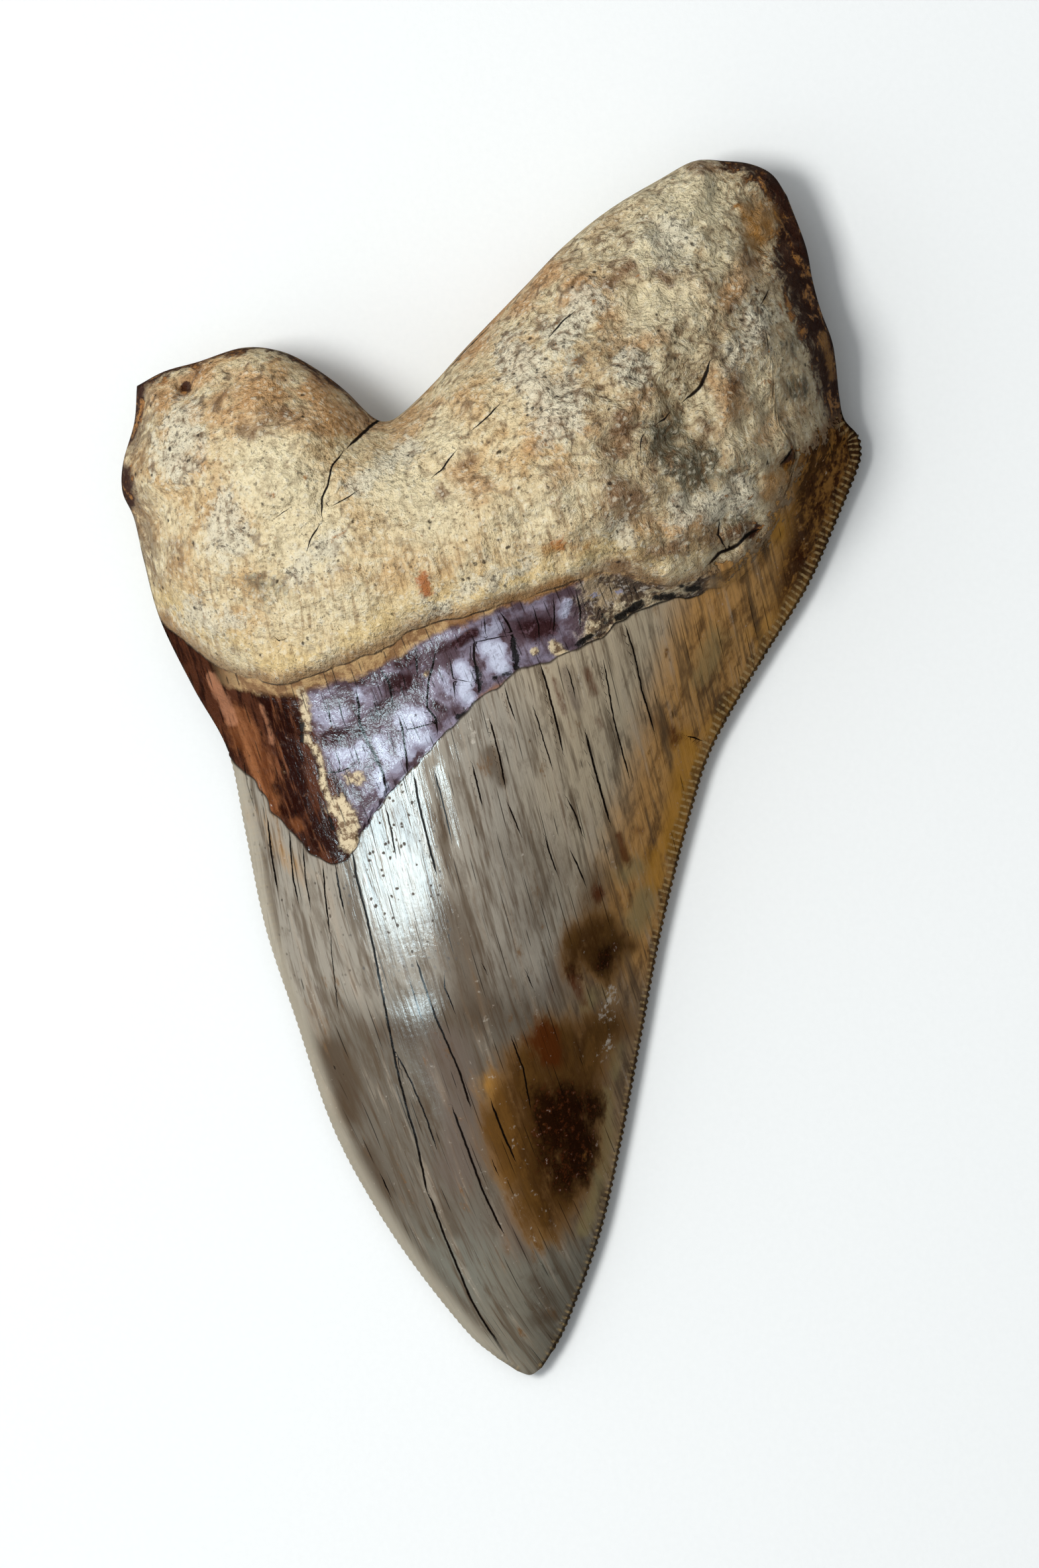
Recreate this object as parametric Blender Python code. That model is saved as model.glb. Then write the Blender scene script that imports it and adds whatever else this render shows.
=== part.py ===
"""Megalodon tooth, a fossil shark tooth that lies on its flatter outer face.

Metres, +Z up.  +Y runs from the tip of the crown to the two lobes of the root.
+X is to the right when the rounded inner face is seen from above.  The origin is
under the middle of the plan, on the surface that the tooth lies on.

Crown, neck band and root grew as one piece, so they are one closed body.  It is
made of two grids, one for the upper face and one for the lower, that are bent to
the plan of the tooth, raised to its height and joined along the rim.
"""

import bmesh
import bpy
import numpy as np
from mathutils import Vector, noise

NAME = "tooth"
COLLECTION = "megalodon_tooth"
MM = 0.001

# --- Plan, seen from above, in millimetres ------------------------------------
# Both sides run from the tip to the outer corner of their lobe.
LEFT_SIDE = [
    (-10.4, -60.4), (-12.7, -58.3), (-15.2, -55.3), (-19.8, -47.4), (-23.4, -39.6),
    (-26.0, -31.9), (-28.0, -21.2), (-29.8, -11.3), (-30.5, -0.8), (-31.1, 7.4),
    (-33.7, 14.3), (-36.1, 21.7), (-36.9, 27.9), (-37.3, 32.5), (-38.1, 35.4),
    (-37.6, 38.4), (-35.9, 42.3), (-35.1, 46.0),
]
RIGHT_SIDE = [
    (-7.8, -60.4), (-6.3, -58.6), (-4.2, -55.5), (0.1, -47.4), (3.6, -38.2),
    (7.2, -27.6), (10.8, -17.0), (15.6, -5.2), (18.9, 1.3), (25.0, 9.1),
    (30.7, 16.0), (35.2, 23.3), (37.6, 27.5), (38.1, 29.1), (38.0, 30.7),
    (36.8, 32.5), (36.6, 34.9), (36.7, 38.4), (36.6, 40.8), (35.9, 44.0),
    (35.5, 47.2), (35.3, 50.7), (34.1, 56.1),
]
# Cross lines run from the left side to the right side.
TIP = [(-10.4, -60.4), (-9.1, -61.0), (-7.8, -60.4)]
ENAMEL_LINE = [
    (-31.1, 7.4), (-29.4, 4.6), (-27.2, 0.4), (-24.0, -4.1), (-21.7, -5.7),
    (-19.1, -4.1), (-17.2, -1.2), (-12.7, 2.6), (-7.2, 7.1), (-0.7, 11.1),
    (4.5, 11.8), (10.6, 14.6), (15.5, 16.4), (19.6, 16.6), (23.9, 17.6),
    (27.4, 20.0), (30.2, 23.6), (32.7, 27.0), (34.8, 29.0), (38.0, 30.7),
]
COLLAR_LINE = [
    (-36.1, 21.7), (-34.2, 19.7), (-30.8, 16.5), (-26.3, 14.0), (-22.2, 13.5),
    (-15.8, 14.8), (-10.7, 16.6), (-3.6, 17.7), (5.7, 19.3), (11.3, 19.9),
    (15.9, 18.0), (19.4, 18.0), (23.6, 19.1), (26.6, 21.3), (29.2, 24.8),
    (31.4, 28.4), (33.8, 30.9), (36.8, 32.5),
]
LOBE_TOPS = [
    (-35.1, 46.0), (-32.1, 47.1), (-28.5, 47.6), (-23.7, 48.4), (-19.9, 47.5),
    (-16.9, 45.5), (-14.0, 42.7), (-11.6, 39.6), (-10.1, 38.8), (-8.2, 39.5),
    (-4.5, 42.2), (-0.8, 45.3), (6.1, 50.7), (10.6, 54.2), (15.8, 57.3),
    (21.5, 59.7), (25.1, 61.0), (28.1, 60.6), (30.8, 59.9), (32.9, 58.5),
    (34.1, 56.1),
]
# Rise on Y of the first rows, which lie level across the tip.
LEVEL_RISE = 68.0

# --- Heights above the surface, in millimetres --------------------------------
# Along the middle of the upper face: place on Y, height.
SPINE = [
    (-61.0, 1.9), (-56.0, 4.6), (-51.0, 6.7), (-41.0, 10.0), (-21.0, 15.5),
    (-1.0, 20.0), (14.0, 23.2), (22.0, 25.6), (30.0, 27.6), (38.0, 27.6),
    (48.0, 25.0), (61.0, 21.0),
]
# Along the rim: zone of the tooth (0 tip, 1 enamel line, 2 collar, 3 lobe tops), height.
RIM = [(0.0, 1.9), (0.5, 2.0), (0.9, 2.4), (1.0, 3.0), (2.0, 5.2), (2.3, 6.8), (3.0, 7.0)]
# How full the cross-section is: zone, power of the arch (1 is a parabola).
FULLNESS = [(0.0, 1.1), (0.7, 1.12), (1.0, 1.0), (1.5, 0.85), (2.2, 0.6), (3.0, 0.5)]

ROOT_EDGE_RADIUS = 7.5
ROOT_UNDER_RADIUS = 5.0
LOBE_TAPER = 0.26
LOBE_TAPER_REACH = 17.0
ENAMEL_STEP = 0.5
COLLAR_STEP = 1.3
COLLAR_RADIUS = 2.2
FLAT_DEPTH = 0.7
TIP_LIFT = 0.9

# Groove that runs down from the notch between the lobes.
VALLEY = [(-10.1, 38.8), (-13.3, 37.2), (-16.6, 33.9), (-18.7, 29.5), (-21.2, 25.7)]
VALLEY_DEPTH = 1.9
VALLEY_WIDTH = 3.2

# Hollows in the root: x, y, radius, depth.
HOLLOWS = [
    (-30.1, 44.6, 2.2, 1.4), (-24.9, 36.6, 2.2, 0.9), (-31.8, 34.0, 2.6, 1.1),
    (-34.8, 31.0, 2.4, 0.8), (9.3, 40.1, 3.4, 0.9), (19.5, 29.0, 4.6, 1.3),
    (13.1, 32.7, 2.2, 0.9), (30.2, 28.2, 2.4, 1.0), (20.0, 36.5, 2.8, 1.0),
    (-1.0, 33.0, 3.6, 0.7),
]
# Lumps of the bone: size of the lumps, height.
LUMPS = [(11.0, 1.1), (4.5, 0.7)]
CROWN_WAVES = (17.0, 0.35)
# Hollow of the lower face between the lobes: x, y, half width, half length, depth.
UNDER_HOLLOW = (-6.0, 23.0, 22.0, 9.0, 2.6)

# --- Fineness of the skin ------------------------------------------------------
COLUMNS = 34
ENAMEL_ROWS = 38
BAND_ROWS = 5
ROOT_ROWS = 21
RIM_CROWDING = 0.55
CURVE_STEPS = 16
SERRATION_PITCH = 0.7
SERRATION_DEPTH = 0.13
SERRATION_START = 0.02

# Colour of the whole fossil from a distance.
COLOUR = (0.42, 0.33, 0.22, 1.0)
ROUGHNESS = 0.55


def smooth_line(points):
    """Closely spaced points of a smooth curve through the given ones."""
    knots = np.array(points, float)
    first = 2 * knots[0] - knots[1]
    last = 2 * knots[-1] - knots[-2]
    knots = np.vstack([first, knots, last])
    t = np.linspace(0.0, 1.0, CURVE_STEPS, endpoint=False)[:, None]
    runs = []
    for a, b, c, d in zip(knots, knots[1:], knots[2:], knots[3:]):
        square = 2 * a - 5 * b + 4 * c - d
        cube = 3 * b - a - 3 * c + d
        runs.append(0.5 * (2 * b + (c - a) * t + square * t**2 + cube * t**3))
    return np.vstack(runs + [knots[-2]])


def sides(y):
    """Place on X of the left and right side at each Y."""
    left, right = (smooth_line(side) for side in (LEFT_SIDE, RIGHT_SIDE))
    return np.interp(y, left[:, 1], left[:, 0]), np.interp(y, right[:, 1], right[:, 0])


def level(line, across):
    """Place on Y of a cross line at each share of the way across."""
    x, y = smooth_line(line).T
    left, right = sides(y)
    return np.interp(across, (x - left) / (right - left), y)


def plan(across, zone):
    """Place on the plan of points given by share across (0 to 1) and zone (0 to 3)."""
    tip, enamel, collar, top = (
        level(line, across) for line in (TIP, ENAMEL_LINE, COLLAR_LINE, LOBE_TOPS)
    )
    up = np.clip(zone, 0, 1)
    lean = 1 - LEVEL_RISE / (enamel - tip)
    y = tip + (enamel - tip) * (up + lean * (up**3 - up))
    y += (collar - enamel) * np.clip(zone - 1, 0, 1)
    y += (top - collar) * np.clip(zone - 2, 0, 1)
    left, right = sides(y)
    return np.stack([left + (right - left) * across, y], axis=1)


def ramp(start, end, value):
    """Smooth rise from 0 at start to 1 at end."""
    t = np.clip((value - start) / (end - start), 0.0, 1.0)
    return t * t * (3 - 2 * t)


def quarter_round(share):
    """Height of a round edge, 0 to 1, at a share of its radius from the rim."""
    return np.sqrt(1 - (1 - np.clip(share, 0.0, 1.0)) ** 2)


def distance(place, line):
    """Distance of each point from a line, in millimetres."""
    gaps = place[:, None, :] - line[None, :, :]
    return np.sqrt((gaps**2).sum(axis=2)).min(axis=1)


def lumps(place, size, seed):
    """Soft irregular lumps between -1 and 1."""
    spots = [Vector((x / size, y / size, seed)) for x, y in place]
    return np.array([noise.noise(spot) for spot in spots])


def from_table(pairs, value):
    """Value read off a list of (place, value) pairs."""
    places, values = zip(*pairs)
    return np.interp(value, places, values)


def root_outline():
    """Outline of the root on the plan, from one shoulder round the lobes to the other."""
    left, right = (smooth_line(side) for side in (LEFT_SIDE, RIGHT_SIDE))
    left = left[left[:, 1] > COLLAR_LINE[0][1]]
    right = right[right[:, 1] > COLLAR_LINE[-1][1]]
    return np.vstack([left, smooth_line(LOBE_TOPS), right[::-1]])


def upper_heights(place, across, zone):
    """Height of the upper face above the surface."""
    rim = from_table(RIM, zone)
    cross = 2 * across - 1
    arch = (1 - cross**2) ** from_table(FULLNESS, zone)
    spine = from_table(SPINE, place[:, 1])
    in_root = ramp(1.3, 2.2, zone)

    inside = distance(place, root_outline())
    edge = 1 - in_root * (1 - quarter_round(inside / ROOT_EDGE_RADIUS))
    from_top = distance(place, smooth_line(LOBE_TOPS))
    taper = 1 - LOBE_TAPER * in_root * (1 - ramp(0.0, LOBE_TAPER_REACH, from_top))
    height = rim + (spine * taper - rim) * arch * edge

    collar = distance(place, smooth_line(COLLAR_LINE))
    relief = COLLAR_STEP * quarter_round(collar / COLLAR_RADIUS) * (zone > 2.0)
    relief -= ENAMEL_STEP * ramp(1.0, 1.1, zone) * (1 - ramp(1.9, 2.1, zone))
    valley = distance(place, smooth_line(VALLEY))
    relief -= VALLEY_DEPTH * np.exp(-((valley / VALLEY_WIDTH) ** 2)) * in_root
    for x, y, radius, depth in HOLLOWS:
        apart = np.linalg.norm(place - (x, y), axis=1)
        relief -= depth * np.exp(-((apart / radius) ** 2))
    for seed, (size, amount) in enumerate(LUMPS):
        relief += amount * lumps(place, size, seed) * in_root
    size, amount = CROWN_WAVES
    relief += amount * lumps(place, size, 5.0) * (1 - in_root)
    away_from_rim = np.minimum(1.0, 4 * arch * edge) * ramp(0.0, 0.05, zone)
    return height + relief * away_from_rim


def lower_heights(place, across, zone):
    """Height of the lower face, cut flat where it rests on the surface."""
    rim = from_table(RIM, zone)
    cross = 2 * across - 1
    arch = 1 - np.abs(cross) ** 2.6
    in_root = ramp(1.3, 2.2, zone)
    inside = distance(place, root_outline())
    edge = 1 - in_root * (1 - quarter_round(inside / ROOT_UNDER_RADIUS))
    x, y, half_width, half_length, depth = UNDER_HOLLOW
    spread = ((place[:, 0] - x) / half_width) ** 2 + ((place[:, 1] - y) / half_length) ** 2
    floor = -FLAT_DEPTH + depth * np.exp(-spread) + (TIP_LIFT + FLAT_DEPTH) * (1 - ramp(0, 0.15, zone))
    height = rim - (rim - floor) * arch * edge
    return np.maximum(height, 0.0)


def crowded(share):
    """Spread of shares 0 to 1 that is denser near both ends."""
    return (1 - RIM_CROWDING) * share + RIM_CROWDING * (1 - np.cos(np.pi * share)) / 2


def row_zones():
    """Zone of each row of the grid, from the tip to the top of the lobes."""
    enamel = np.linspace(0.0, 1.0, ENAMEL_ROWS + 1)
    band = 1 + np.linspace(0.0, 1.0, BAND_ROWS + 1) ** 0.8
    root_share = np.linspace(0.0, 1.0, ROOT_ROWS + 1)
    root = 2 + crowded(root_share)
    return np.concatenate([enamel, band[1:], root[1:]])


def add_face_grid(mesh, heights, upper):
    """Add the grid of the upper or lower face to the mesh, bent to its shape."""
    zones = row_zones()
    rows = len(zones) - 1
    made = bmesh.ops.create_grid(mesh, x_segments=COLUMNS, y_segments=rows, size=1.0)
    verts = made["verts"]
    flat = np.array([vert.co.xy for vert in verts])
    across = crowded((flat[:, 0] + 1) / 2)
    zone = zones[np.rint((flat[:, 1] + 1) / 2 * rows).astype(int)]
    place = plan(across, zone)
    height = heights(place, across, zone)
    on_rim = (across < 1e-6) | (across > 1 - 1e-6) | (zone < 1e-6) | (zone > 3 - 1e-6)
    height[on_rim] = from_table(RIM, zone[on_rim])
    side_layer = mesh.verts.layers.float["across"]
    zone_layer = mesh.verts.layers.float["zone"]
    for index, vert in enumerate(verts):
        vert.co = Vector((*place[index], height[index])) * MM
        vert[side_layer] = across[index]
        vert[zone_layer] = zone[index]
    if not upper:
        faces = list({face for vert in verts for face in vert.link_faces})
        bmesh.ops.reverse_faces(mesh, faces=faces)


def crown_rim(mesh, side):
    """Points of the crown's cutting edge on one side: 0 is left, 1 is right."""
    side_layer = mesh.verts.layers.float["across"]
    zone_layer = mesh.verts.layers.float["zone"]
    return {
        vert for vert in mesh.verts
        if abs(vert[side_layer] - side) < 1e-4
        and SERRATION_START < vert[zone_layer] < 1.001
    }


def cut_serrations(mesh, side):
    """Give one cutting edge its row of fine teeth."""
    rim = crown_rim(mesh, side)
    edges = [edge for edge in mesh.edges if rim.issuperset(edge.verts)]
    length = sum(edge.calc_length() for edge in edges) / len(edges)
    teeth_per_edge = max(1, round(length / (SERRATION_PITCH * MM)))
    bmesh.ops.subdivide_edges(mesh, edges=edges, cuts=2 * teeth_per_edge - 1)
    finer_rim = sorted(crown_rim(mesh, side), key=lambda vert: vert.co.y)
    for index, vert in enumerate(finer_rim):
        outward = 1 if index % 2 else -1
        away = 1 if side else -1
        vert.co.x += away * outward * SERRATION_DEPTH * MM


def build_tooth():
    """Make the closed body of the tooth."""
    mesh = bmesh.new()
    mesh.verts.layers.float.new("across")
    mesh.verts.layers.float.new("zone")
    add_face_grid(mesh, upper_heights, upper=True)
    add_face_grid(mesh, lower_heights, upper=False)
    rim = [vert for vert in mesh.verts if vert.is_boundary]
    bmesh.ops.remove_doubles(mesh, verts=rim, dist=0.001 * MM)
    for side in (0, 1):
        cut_serrations(mesh, side)
    bmesh.ops.triangulate(mesh, faces=mesh.faces[:])
    bmesh.ops.recalc_face_normals(mesh, faces=mesh.faces[:])
    data = bpy.data.meshes.new(NAME)
    mesh.to_mesh(data)
    mesh.free()
    return bpy.data.objects.new(NAME, data)


def fossil_material():
    """Plain material in the tooth's overall colour."""
    material = bpy.data.materials.new("fossil_tooth")
    material.use_nodes = True
    surface = material.node_tree.nodes["Principled BSDF"]
    surface.inputs["Base Color"].default_value = COLOUR
    surface.inputs["Roughness"].default_value = ROUGHNESS
    surface.inputs["Metallic"].default_value = 0.0
    return material


def main():
    for item in list(bpy.data.objects):
        bpy.data.objects.remove(item, do_unlink=True)
    collection = bpy.data.collections.new(COLLECTION)
    bpy.context.scene.collection.children.link(collection)
    tooth = build_tooth()
    tooth.data.materials.append(fossil_material())
    collection.objects.link(tooth)


main()
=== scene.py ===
"""Finish and studio of the megalodon tooth.

One piece, the whole tooth, stands for the part's plain solid: the same plan and
heights in a finer skin, with the chips, pits, cracks and cutting edge worked in.
It carries one material with three finishes: porous root, dark neck band and glossy
enamel.  Places on the tooth are in millimetres, in the part's own frame: +Y runs
from the tip to the root, +Z up from the surface that the tooth lies on.
"""

from math import pi, radians

import bmesh
import bpy
import numpy as np
from mathutils import Matrix, Vector, noise


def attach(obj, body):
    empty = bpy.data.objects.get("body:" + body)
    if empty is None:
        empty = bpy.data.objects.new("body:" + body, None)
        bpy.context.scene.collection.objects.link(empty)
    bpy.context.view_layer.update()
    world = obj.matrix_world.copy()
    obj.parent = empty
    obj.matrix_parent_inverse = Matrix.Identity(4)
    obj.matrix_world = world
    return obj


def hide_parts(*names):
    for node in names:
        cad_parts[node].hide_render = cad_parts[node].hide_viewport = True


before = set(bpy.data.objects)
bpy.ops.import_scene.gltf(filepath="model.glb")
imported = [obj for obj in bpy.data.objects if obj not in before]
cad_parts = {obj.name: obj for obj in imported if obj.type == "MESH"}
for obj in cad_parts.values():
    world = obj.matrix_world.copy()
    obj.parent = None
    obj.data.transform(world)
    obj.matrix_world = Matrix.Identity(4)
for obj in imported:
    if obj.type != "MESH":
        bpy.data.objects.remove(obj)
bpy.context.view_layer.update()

MM = 0.001
# Values kept on each vertex: share of the way across, zone, and whether on the upper face.
LAYERS = ("across", "zone", "upper")

# --- Plan, seen from above ------------------------------------------------------
# Both sides run from the tip to the outer corner of their lobe.
LEFT_SIDE = [
    (-10.4, -60.4), (-12.7, -58.3), (-15.2, -55.3), (-19.8, -47.4), (-23.4, -39.6),
    (-26.0, -31.9), (-28.0, -21.2), (-29.8, -11.3), (-30.5, -0.8), (-31.1, 7.4),
    (-33.7, 14.3), (-36.1, 21.7), (-36.9, 27.9), (-37.3, 32.5), (-38.1, 35.4),
    (-37.6, 38.4), (-35.9, 42.3), (-35.1, 46.0),
]
RIGHT_SIDE = [
    (-7.8, -60.4), (-6.3, -58.6), (-4.2, -55.5), (0.1, -47.4), (3.6, -38.2),
    (7.2, -27.6), (10.8, -17.0), (15.6, -5.2), (18.9, 1.3), (25.0, 9.1),
    (30.7, 16.0), (35.2, 23.3), (37.6, 27.5), (38.1, 29.1), (38.0, 30.7),
    (36.8, 32.5), (36.6, 34.9), (36.7, 38.4), (36.6, 40.8), (35.9, 44.0),
    (35.5, 47.2), (35.3, 50.7), (34.1, 56.1),
]
# Cross lines run from the left side to the right side.
TIP = [(-10.4, -60.4), (-9.1, -61.0), (-7.8, -60.4)]
ENAMEL_LINE = [
    (-31.1, 7.4), (-29.4, 4.6), (-27.2, 0.4), (-24.0, -4.1), (-21.7, -5.7),
    (-19.1, -4.1), (-17.2, -1.2), (-12.7, 2.6), (-7.2, 7.1), (-0.7, 11.1),
    (4.5, 11.8), (10.6, 14.6), (15.5, 16.4), (19.6, 16.6), (23.9, 17.6),
    (27.4, 20.0), (30.2, 23.6), (32.7, 27.0), (34.8, 29.0), (38.0, 30.7),
]
COLLAR_LINE = [
    (-36.1, 21.7), (-34.2, 19.7), (-30.8, 16.5), (-26.3, 14.0), (-22.2, 13.5),
    (-15.8, 14.8), (-10.7, 16.6), (-3.6, 17.7), (5.7, 19.3), (11.3, 19.9),
    (15.9, 18.0), (19.4, 18.0), (23.6, 19.1), (26.6, 21.3), (29.2, 24.8),
    (31.4, 28.4), (33.8, 30.9), (36.8, 32.5),
]
LOBE_TOPS = [
    (-35.1, 46.0), (-32.1, 47.1), (-28.5, 47.6), (-23.7, 48.4), (-19.9, 47.5),
    (-16.9, 45.5), (-14.0, 42.7), (-11.6, 39.6), (-10.1, 38.8), (-8.2, 39.5),
    (-4.5, 42.2), (-0.8, 45.3), (6.1, 50.7), (10.6, 54.2), (15.8, 57.3),
    (21.5, 59.7), (25.1, 61.0), (28.1, 60.6), (30.8, 59.9), (32.9, 58.5),
    (34.1, 56.1),
]
# Rise on Y of the first rows, which lie level across the tip.
LEVEL_RISE = 68.0

# --- Heights above the surface ----------------------------------------------------
# Along the middle of the upper face: place on Y, height.
SPINE = [
    (-61.0, 1.9), (-56.0, 4.6), (-51.0, 6.7), (-41.0, 10.0), (-29.0, 13.1),
    (-21.5, 15.5), (-15.5, 17.25), (-1.0, 20.1), (14.0, 23.2), (22.0, 25.6), (30.0, 27.6),
    (38.0, 27.6), (48.0, 25.0), (61.0, 21.0),
]
# Along the rim: zone of the tooth (0 tip, 1 enamel line, 2 collar, 3 lobe tops), height.
RIM = [(0.0, 1.9), (0.5, 2.0), (0.9, 2.4), (1.0, 3.0), (2.0, 5.2), (2.3, 6.8), (3.0, 7.0)]
# How full the cross-section is: zone, power of the arch (1 is a parabola).
FULLNESS = [(0.0, 1.1), (0.7, 1.12), (1.0, 1.0), (1.5, 0.85), (2.2, 0.6), (3.0, 0.5)]

ROOT_EDGE_RADIUS = 7.5
ROOT_UNDER_RADIUS = 5.0
LOBE_TAPER = 0.26
LOBE_TAPER_REACH = 17.0
# Zones between which the section of the crown becomes that of the root.
ROOT_ZONES = (1.3, 2.2)
# Steps at the edge of the enamel and at the collar, and how much lower the second is on
# the right shoulder.
ENAMEL_STEP = 0.5
COLLAR_STEP = 1.15
SHOULDER_LOSS = 0.6
# Where the collar's step starts and ends, past its line, and how wide its foot is.
COLLAR_RISE = (-0.3, 2.2)
COLLAR_FOOT = 1.5
# Lower face: power of its arch, how deep it is cut flat, and the lift under the tip.
UNDER_FULLNESS = 2.6
FLAT_DEPTH = 0.7
TIP_LIFT = 0.9
TIP_ZONE = 0.15
# Relief fades out at the rim, where the arch is below this share, and in the tip's first zone.
RIM_CALM = 4
TIP_CALM = 0.05

# Groove that runs down from the notch between the lobes.
VALLEY = [(-10.1, 38.8), (-13.3, 37.2), (-16.6, 33.9), (-18.7, 29.5), (-21.2, 25.7)]
VALLEY_DEPTH = 0.7
VALLEY_WIDTH = 3.4

# Hollows in the root: x, y, radius, depth.
HOLLOWS = [
    (-30.1, 44.6, 2.2, 1.4), (-24.9, 36.6, 2.2, 0.9), (-31.8, 34.0, 2.6, 1.1),
    (-34.8, 31.0, 2.4, 0.8), (9.3, 40.1, 3.4, 0.9), (19.5, 29.0, 4.6, 1.3),
    (13.1, 32.7, 2.2, 0.9), (30.2, 28.2, 2.4, 1.0), (20.0, 36.5, 2.8, 1.0),
    (-1.0, 33.0, 3.6, 0.7),
]
# Small deep pits in the root: x, y, radius, depth.
PITS = [
    (-30.1, 45.0, 0.8, 1.2), (-24.9, 36.6, 0.6, 0.6), (-31.8, 34.0, 0.9, 0.6),
    (-34.6, 31.7, 0.6, 0.6), (-24.1, 17.8, 0.5, 0.5), (30.2, 28.2, 0.8, 0.9),
    (23.2, 20.8, 0.7, 0.8), (21.3, 19.7, 0.6, 0.6), (25.1, 21.6, 0.5, 0.6),
    (9.3, 40.1, 0.9, 0.5), (11.2, 41.0, 0.6, 0.4), (7.6, 38.8, 0.6, 0.4),
    (13.1, 32.7, 0.8, 0.5),
]
# Lumps of the bone: size of the lumps, height.
LUMPS = [(11.0, 1.1), (4.5, 0.8)]
# Finer lumps: size, height, and how much higher they are on the right lobe.
FINE_LUMPS = [(2.6, 0.38, 0.56), (1.4, 0.24, 0.36)]
FINE_SEED = 20
BONE_START = (-0.5, 1.5)
RIGHT_LOBE = (2.0, 20.0)
# Broad waves of the crown: size, height, seed.
CROWN_WAVES = (17.0, 0.35, 5.0)
# Shallow flats of the crown: half width, depth, then the middle line.
FLATS = [
    (5.0, 0.70, [(-15.8, 2.0), (-15.2, -8.0), (-14.4, -17.5)]),
    (0.9, 0.22, [(-10.2, 2.6), (-9.7, -1.2), (-9.4, -5.1)]),
    (0.6, 0.10, [(-8.4, 4.6), (-7.9, 1.0), (-7.2, -3.0)]),
]
# How far past the enamel's edge the flats reach.
FLATS_END = 0.2
# Swell across the neck band: share of the way from the enamel to the collar, height.
BAND_SWELL = [(0.0, 0.0), (0.12, 0.40), (0.35, 0.30), (0.55, -0.05), (0.75, 0.25), (1.0, 0.0)]
NARROWEST_BAND = 0.5
# Hollow of the lower face between the lobes: x, y, half width, half length, depth.
UNDER_HOLLOW = (-6.0, 23.0, 22.0, 9.0, 2.6)

# --- Ragged borders -----------------------------------------------------------------
# Line, its zone, then size and reach of each layer of its raggedness, and their seed.
BORDERS = {
    "past_enamel": (ENAMEL_LINE, 1.0, [(5.0, 0.5), (1.6, 0.45)], 40.0),
    "past_collar": (COLLAR_LINE, 2.0, [(6.0, 0.6), (2.0, 0.35)], 50.0),
}
LEDGE_WIDTH = 0.25
# Where on X the band and its ledge run out on the right shoulder.
LEDGE_END = (17.0, 22.0)

# --- Fineness of the skin -------------------------------------------------------------
COLUMNS = 216
ENAMEL_ROWS = 224
BAND_ROWS = 36
ROOT_ROWS = 124
UNDER_SHARE = 4
RIM_CROWDING = 0.35
CURVE_STEPS = 8
SERRATION_PITCH = 0.69
# Depth on the left edge and on the right edge.
SERRATION_DEPTHS = (0.05, 0.13)
SERRATION_CUTS = 3
SERRATION_ZONES = (0.02, 1.001)
EDGE_SLACK = 1e-4
# Folds sharper than this stay crisp, up to this zone.
SHARP_FOLD = radians(40)
CREASE_END = 1.9

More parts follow.
